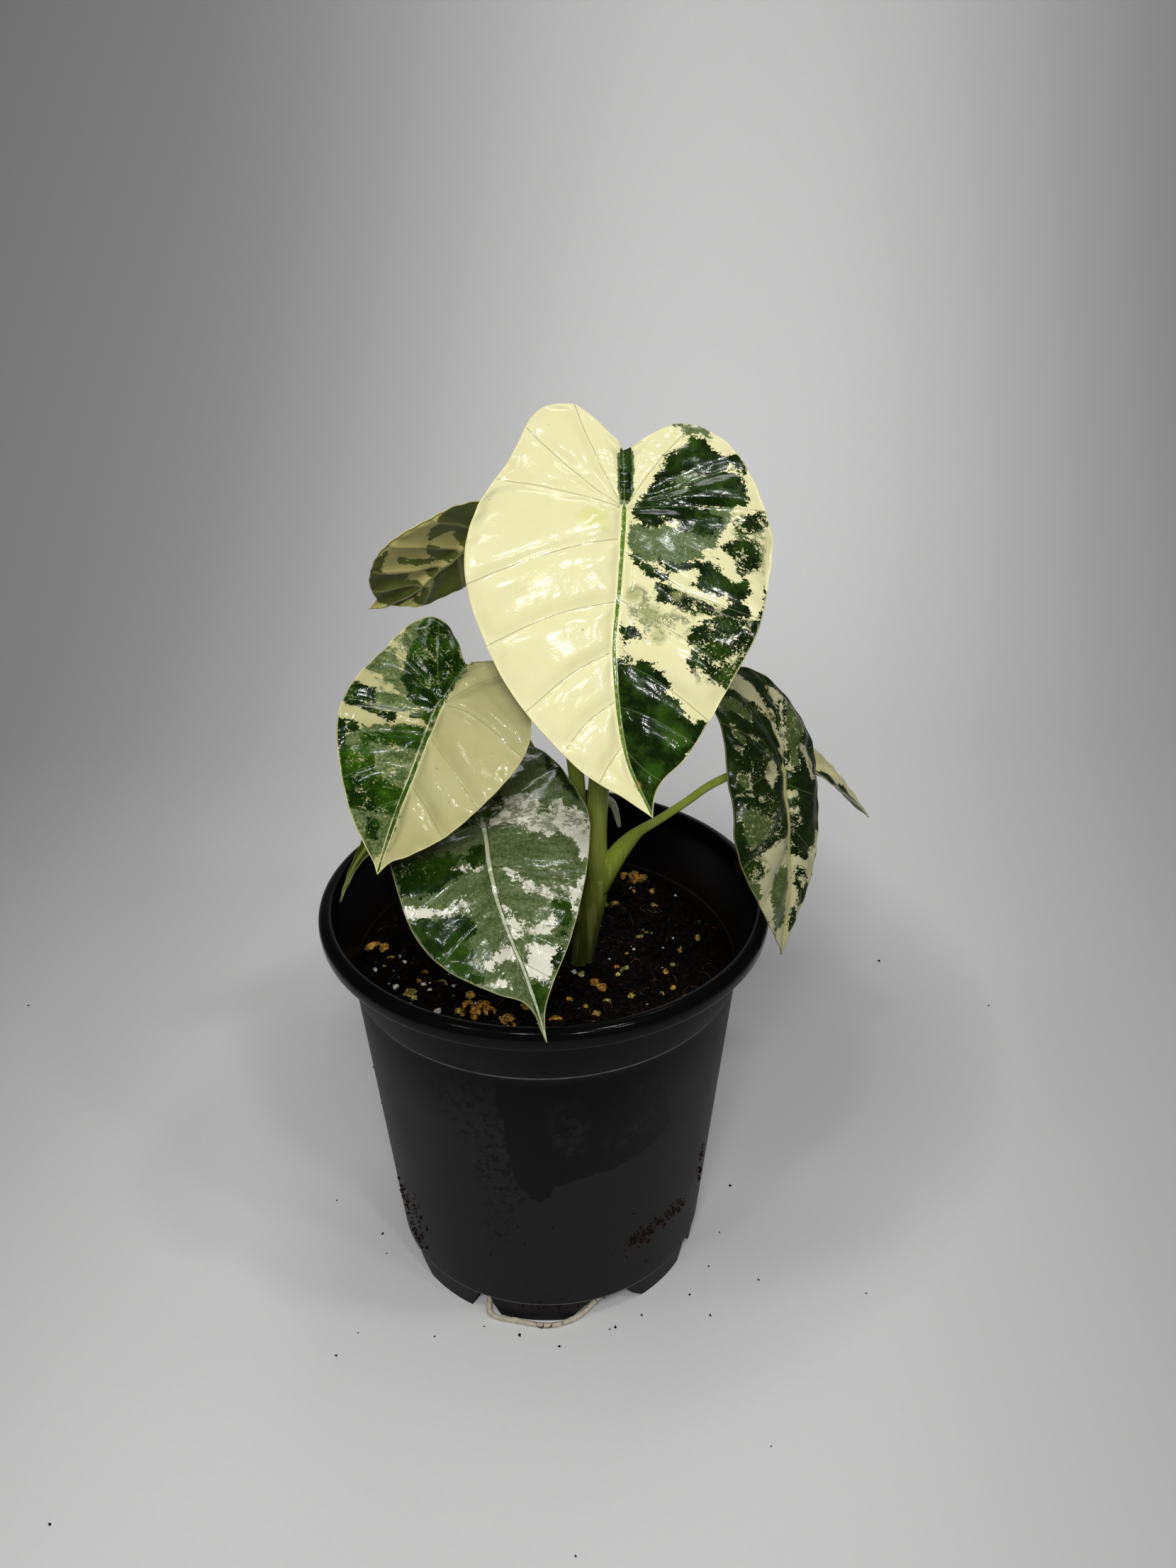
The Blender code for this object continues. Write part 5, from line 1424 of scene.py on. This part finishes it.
BLADES["leaf_back"] = Blade(
    joint=(-19.7, 45.0, 283.6), tip=(-62.3, 52.0, 249.7), roll=40, fold=(-0.1, -0.1), cup=(0, 0), arch=2,
    detail=(7, 40),
    rib=[(0, -11), (0, 0), (6, 12), (9, 25), (9.5, 40), (6, 49), (0, 55)],
    left=[(5, -14), (12, -14), (20, -9), (26, 4), (29, 18), (28.5, 29), (25.5, 37), (20.5, 45.5),
        (12, 49), (5, 51.5)],
    right=[(-4, -14), (-10, -13.5), (-18, -10.5), (-23, -4), (-25, 5), (-28, 18), (-26, 29),
        (-17, 40.5), (-8, 46.5), (-1.5, 49.8)],
    veins=[((0, 0), (7, -5), (14, -13)), ((0, 0), (14, 3), (27, 8)), ((7, 16), (17, 22), (28, 30)),
        ((10, 30), (15, 36), (21, 45)), ((0, 0), (-8, -6), (-17, -11)), ((1, 3), (-12, 3), (-25, 6)),
        ((6, 14), (-8, 18), (-27, 23)), ((9, 24), (-3, 31), (-20, 37)), ((9, 36), (0, 40), (-9, 46))],
    look={"cream": ((222, 214, 140), (208, 200, 122)), "khaki": (196, 192, 108), "under": 0.14,
        "rib": (132, 134, 78), "rib_side": (116, 118, 70), "dark": ((40, 60, 6), (84, 108, 14)),
        "grey": ((86, 90, 40), (120, 116, 60)), "grow": 0.6, "rough": 0.26, "ragged": 0.5},
    patches=[
        ("dark", [(3, -13), (-10, -14), (-20, -10), (-24, -4), (-22, 4), (-16, 12), (-12, 15), (-10, 9),
            (-7, 6), (-4, 9), (4, 12), (8, 6)]),
        ("dark", [(7, 16), (2, 16), (-10, 17), (-10, 19), (0, 22), (7, 21)]),
        ("dark", [(8, 20), (4, 23), (-3, 27), (-11, 30), (-15, 27), (-9, 28), (-2, 24)]),
        ("dark", [(12, 27), (4, 27), (1, 29), (6, 30), (12, 31)]),
        ("dark", [(12, 36), (6, 36), (0, 37), (-3, 32), (-8, 35), (-16, 36), (-22, 30), (-25, 26),
            (-24, 33), (-18, 40), (-8, 47), (0, 50), (10, 49), (13, 42)]),
        ("dark", [(12, 12), (20, 10), (28, 18), (28, 32), (22, 44), (15, 44), (13, 30), (9, 20)]),
    ],
)
BLADES["leaf_behind_right"] = Blade(
    joint=(89.3, 45.0, 199.6), tip=(130.9, 50.0, 157.4), roll=5, fold=(0.12, 0.1), cup=(2, 2), arch=2,
    rows=16, detail=(7, 30),
    rib=[(0, -14), (0, 0), (0, 30), (0, 59.5)],
    left=[(4, -18), (10, -19), (15, -12), (17, 0), (17, 14), (14, 30), (8, 45), (2, 55)],
    right=[(-4, -18), (-9, -18), (-13, -12), (-14, 0), (-14, 12), (-12.5, 26), (-9.5, 41),
        (-3.5, 53)],
    veins=[((0, 0), (5, -8), (10, -18)), ((0, 0), (8, 1), (17, 4)), ((0, 10), (8, 14), (16, 22)),
        ((0, 24), (6, 29), (11, 38)), ((0, 38), (3, 42), (6, 50)), ((0, 0), (-4, -8), (-8, -18)),
        ((0, 0), (-7, 1), (-14, 4)), ((0, 10), (-7, 14), (-13, 21)), ((0, 24), (-5, 29), (-10, 37)),
        ((0, 38), (-3, 42), (-5, 49))],
    look={"cream": ((204, 198, 150), (190, 182, 128)), "rib": (150, 150, 96), "rib_side": (190, 184, 132),
        "ragged": 0.5},
    patches=[
        ("dark", [(18, -6), (14, -4), (13, 14), (10, 28), (5, 36), (2, 44), (0, 58), (4, 54), (10, 44),
            (16, 28), (19, 10)]),
        ("dark", [(0, -15), (8, -20), (14, -12), (10, -4), (2, -4), (-6, -10)]),
        ("grey", [(-3, -2), (-12, -4), (-14, 8), (-8, 14), (-3, 8)]),
        ("fleck", [(-2, 0), (-14, 0), (-13, 18), (-5, 16)]),
    ],
)
BLADES["leaf_low_left"] = Blade(
    joint=(-40.0, 0.0, 212.0), tip=(-71.5, -22.0, 170.0), roll=-10, fold=(0.2, 0.2), cup=(2, 2), arch=4,
    rows=16, detail=(7, 30),
    rib=[(0, -12), (0, 0), (1, 20), (0.5, 36), (0.7, 46), (0, 57)],
    left=[(3, -15), (8, -15), (12, -8), (13, 3), (10, 16), (5.5, 28), (2.6, 36), (1.8, 46)],
    right=[(-3, -15), (-8, -15), (-12, -8), (-14, 3), (-12.5, 16), (-8, 28), (-3, 38), (-0.3, 46)],
    veins=[((0, 0), (4, -7), (8, -15)), ((0, 0), (6, 1), (13, 3)), ((0, 10), (5, 13), (10, 18)),
        ((1, 22), (3, 25), (5, 31)), ((0, 0), (-4, -7), (-8, -15)), ((0, 0), (-7, 1), (-14, 3)),
        ((0, 10), (-6, 14), (-12, 18)), ((1, 22), (-3, 26), (-7, 31))],
    ground="dark",
    look={"dark": ((48, 62, 8), (84, 98, 18)), "grey": ((84, 96, 40), (122, 128, 70)),
        "rib": (128, 134, 64), "rib_side": (110, 118, 46), "edge": (168, 170, 110), "ragged": 0.5},
    patches=[
        ("cream", [(-14, 0), (-4, 2), (-5, 12), (-14, 14)]),
        ("grey", [(14, -6), (4, -4), (5, 10), (11, 12)]),
        ("fleck", [(14, -10), (-10, -12), (-12, 16), (10, 16)]),
    ],
)


# Petioles and stem

# Each petiole's way from the stem to under its blade: x, y, z and radius
PETIOLES = {
    "leaf_top": [(20, 0, 158, 3.9), (19, 0, 181, 3.9), (20, 1, 202, 3.7), (22, 6, 229, 2.9),
                 (25, 10, 259, 2.4), (27, 8.5, 284, 2.0), (27.6, 5, 294, 1.8)],
    "leaf_back": [(17, 3, 158, 3.2), (13, 6, 186, 3.1), (12, 8, 204, 2.8), (7, 20, 228, 2.2),
                  (-5, 34, 255, 1.9), (-13, 41, 272, 1.7)],
    "leaf_right": [(20, 0, 160, 3.9), (26, 0, 172, 3.7), (31, 0, 179, 2.8), (35, 0, 183, 1.9),
                   (42, 1, 187, 1.6), (51, 2, 193, 1.5), (61, 3, 200, 1.5), (74, 4, 205, 1.5)],
    "leaf_behind_right": [(19, 4, 170, 2.4), (20, 8, 200, 2.2), (30, 18, 220, 1.9),
                          (49, 31, 231, 1.7), (63, 38.5, 230, 1.6), (71, 42.5, 223, 1.6),
                          (71.8, 43.2, 212.5, 1.6), (75, 43.8, 204.8, 1.6), (80.5, 44.5, 199, 1.5)],
    "leaf_left": [(12, 0, 146, 2.9), (5, 6, 187, 2.4), (-6, 9, 216, 2.0), (-17, 2, 236, 1.8),
                  (-26, -14, 243, 1.8)],
    "leaf_front": [(12, 0, 146, 2.9), (4, -4, 175, 2.3), (-8, -12, 192, 2.0)],
    "leaf_low_left": [(12, 0, 146, 2.6), (-2, 8, 180, 2.0), (-18, 12, 200, 1.7), (-30, 10, 207, 1.5)],
}
STEM_ROUTE = [STEM_FOOT + (STEM_RADIUS,), (13.3, 0, 126, STEM_RADIUS), (15.5, 0, 141, 4.9),
              (18, 0, 153, 4.6), (20, 0, 164, 4.0)]
SHEATH_ROUTE = [(20, 4, 172, 1.9), (21, 9, 185, 1.9), (23.5, 10.5, 189.5, 1.8), (26, 10.5, 187, 1.6),
                (28, 10, 179, 0.9)]


def petiole_route(name):
    """Along the petiole's route, then straight up into the rib under the joint."""
    joint, normal = BLADES[name].seat()
    radius = PETIOLES[name][-1][3]
    seat = joint - normal * (RIB_THICKNESS + CLEARANCE)
    bent = smooth(PETIOLES[name] + [(*(seat - normal * PETIOLE_REACH), radius)], PETIOLE_STEPS)
    depth, share = PETIOLE_END
    return np.vstack([bent, [(*seat, radius)], [(*(joint - normal * depth), radius * share)]])


def stalk_finish(name, low, high, stripe):
    """A smooth fleshy stalk, striped along its length, paler higher up, darkened by painted shade towards
    the mix.
    """
    stalk = Finish(name)
    height = stalk.axis(stalk.place(), "Z")
    lines = stalk.noise(stalk.place((1, 1, 0.05)), 0.9, detail=4, roughness=0.6)
    broad = stalk.noise(stalk.place((1, 1, 0.07)), 4.0, detail=2)
    tint = stalk.mix(stalk.step(height, *STALK_PALE), low, high)
    tint = stalk.lay(tint, stripe, stalk.step(lines, 0.45, 0.75), 0.35)
    tint = stalk.lay(tint, stripe, stalk.step(broad, 0.55, 0.7), 0.3)
    # Painted shade: the stalks darken low down, towards the mix under the blades
    tint = stalk.lay(tint, (34, 36, 10), stalk.step(height, *STALK_PAINTED_SHADE), 0.72)
    return stalk.shade(base=tint, rough=0.42, normal=stalk.bump(lines, 0.35, 0.25), coat=0.08,
                       coat_rough=0.3, subsurface=0.08, radius=(0.8, 1.0, 0.2), subsurface_scale=1.5 * MM)


def make_stem():
    finish = stalk_finish("petiole", (62, 74, 12), (146, 162, 56), (196, 200, 124))
    made = add_piece("stalks", *tube(smooth(STEM_ROUTE, 40), 24), finish)
    petioles = [add_piece("stalk_" + name, *tube(petiole_route(name), 24), finish) for name in PETIOLES]
    combine(made, petioles, "UNION", "MANIFOLD")
    made.data.shade_smooth()
    put(made, "stem")


def make_sheath():
    """The dry sheath that has come loose from the stem."""
    finish = stalk_finish("sheath", (120, 124, 84), (176, 180, 158), (120, 118, 84))
    put(add_piece("sheath", *tube(smooth(SHEATH_ROUTE, 40), 20, 0.75), finish), "stem")


# Root under the pot: radius from the pot's axis, bearing, height
ROOT_RADIUS = 1.0
ROOT_STEPS = 160
# The root is soiled round this place along the frame's X
ROOT_SOIL = -30
ROOT_SOIL_REACH = (12, 5)
ROOT_ROUTE = [(55.5, -116, 11.55), (55.5, -116, 7), (57.5, -115.5, 3.4), (60.6, -114, 1.7),
              (61.6, -110, 1.15), (61.2, -104, 1.1), (61.8, -98, 1.1), (62.4, -93, 1.1),
              (61.6, -87, 1.2), (59.6, -80, 2.4), (57, -73, 6), (56.3, -71, 9), (56.2, -70.5, 11.55)]


def make_root():
    """The pale root, uneven in width and soiled where it comes out on the left."""
    route = [(*polar(radius, bearing, height), ROOT_RADIUS) for radius, bearing, height in ROOT_ROUTE]
    route = smooth(route, ROOT_STEPS)
    steps = np.arange(ROOT_STEPS)
    route[:, 3] *= 1 + 0.14 * np.sin(steps * 0.35) * np.sin(steps * 0.13)
    root = Finish("root")
    where = root.place()
    cloud = root.noise(where, 3.0, detail=4, roughness=0.65)
    fine = root.noise(where, 0.5, detail=3)
    dirt = root.step(root.noise(where, 2.0, 4, 0.7), 0.5, 0.62)
    near = root.step(root.absolute(root.total(root.axis(where, "X"), -ROOT_SOIL)), *ROOT_SOIL_REACH)
    tint = root.mix(cloud, (150, 140, 118), (206, 198, 178))
    tint = root.lay(tint, (46, 28, 18), dirt, root.blend(near, 0.25, 1.0))
    finish = root.shade(base=tint, rough=0.6, normal=root.bump(root.total(cloud, fine), 0.4, 0.3))
    put(add_piece("root_loop", *tube(route, 16), finish), "drain_root")


# Crumbs that lie on the paper round the pot: pixels of the photograph
FLOOR_CRUMBS = [
    (540, 1740), (545, 1768), (613, 1885), (505, 1880), (1015, 1738), (1000, 1786), (1002, 1855),
    (905, 1855), (683, 1871), (733, 1883), (789, 1899), (860, 1875), (1070, 1805), (475, 1693),
    (1222, 1824), (474, 1912), (1030, 1672), (973, 1826), (868, 1872), (40, 1418), (350, 876),
    (1176, 131), (1027, 203), (1240, 1355), (1395, 1418), (812, 2195), (1088, 2040), (70, 2150),
]


def make_floor_crumbs():
    draw = random.Random(FLOOR_SEED)
    crumbs = []
    for pixel in FLOOR_CRUMBS:
        place = seen_at(pixel, 0.4)
        if place.y < SWEEP_BEND:
            crumbs.append(chunk(draw, (place.x, place.y, 0.35), draw.uniform(0.28, 0.6), 2, 0.8, 0.6))
    made = add_piece("floor_crumbs", *join(crumbs), mix_finish("loose_mix"))


def main():
    make_camera()
    make_sweep()
    make_lights()
    make_pot()
    make_mix()
    make_grit()
    make_stones()
    make_fibres()
    make_wall_dirt()
    for number, (name, blade) in enumerate(BLADES.items()):
        make_blade(name, blade, number)
    make_stem()
    make_sheath()
    make_root()
    make_floor_crumbs()


main()
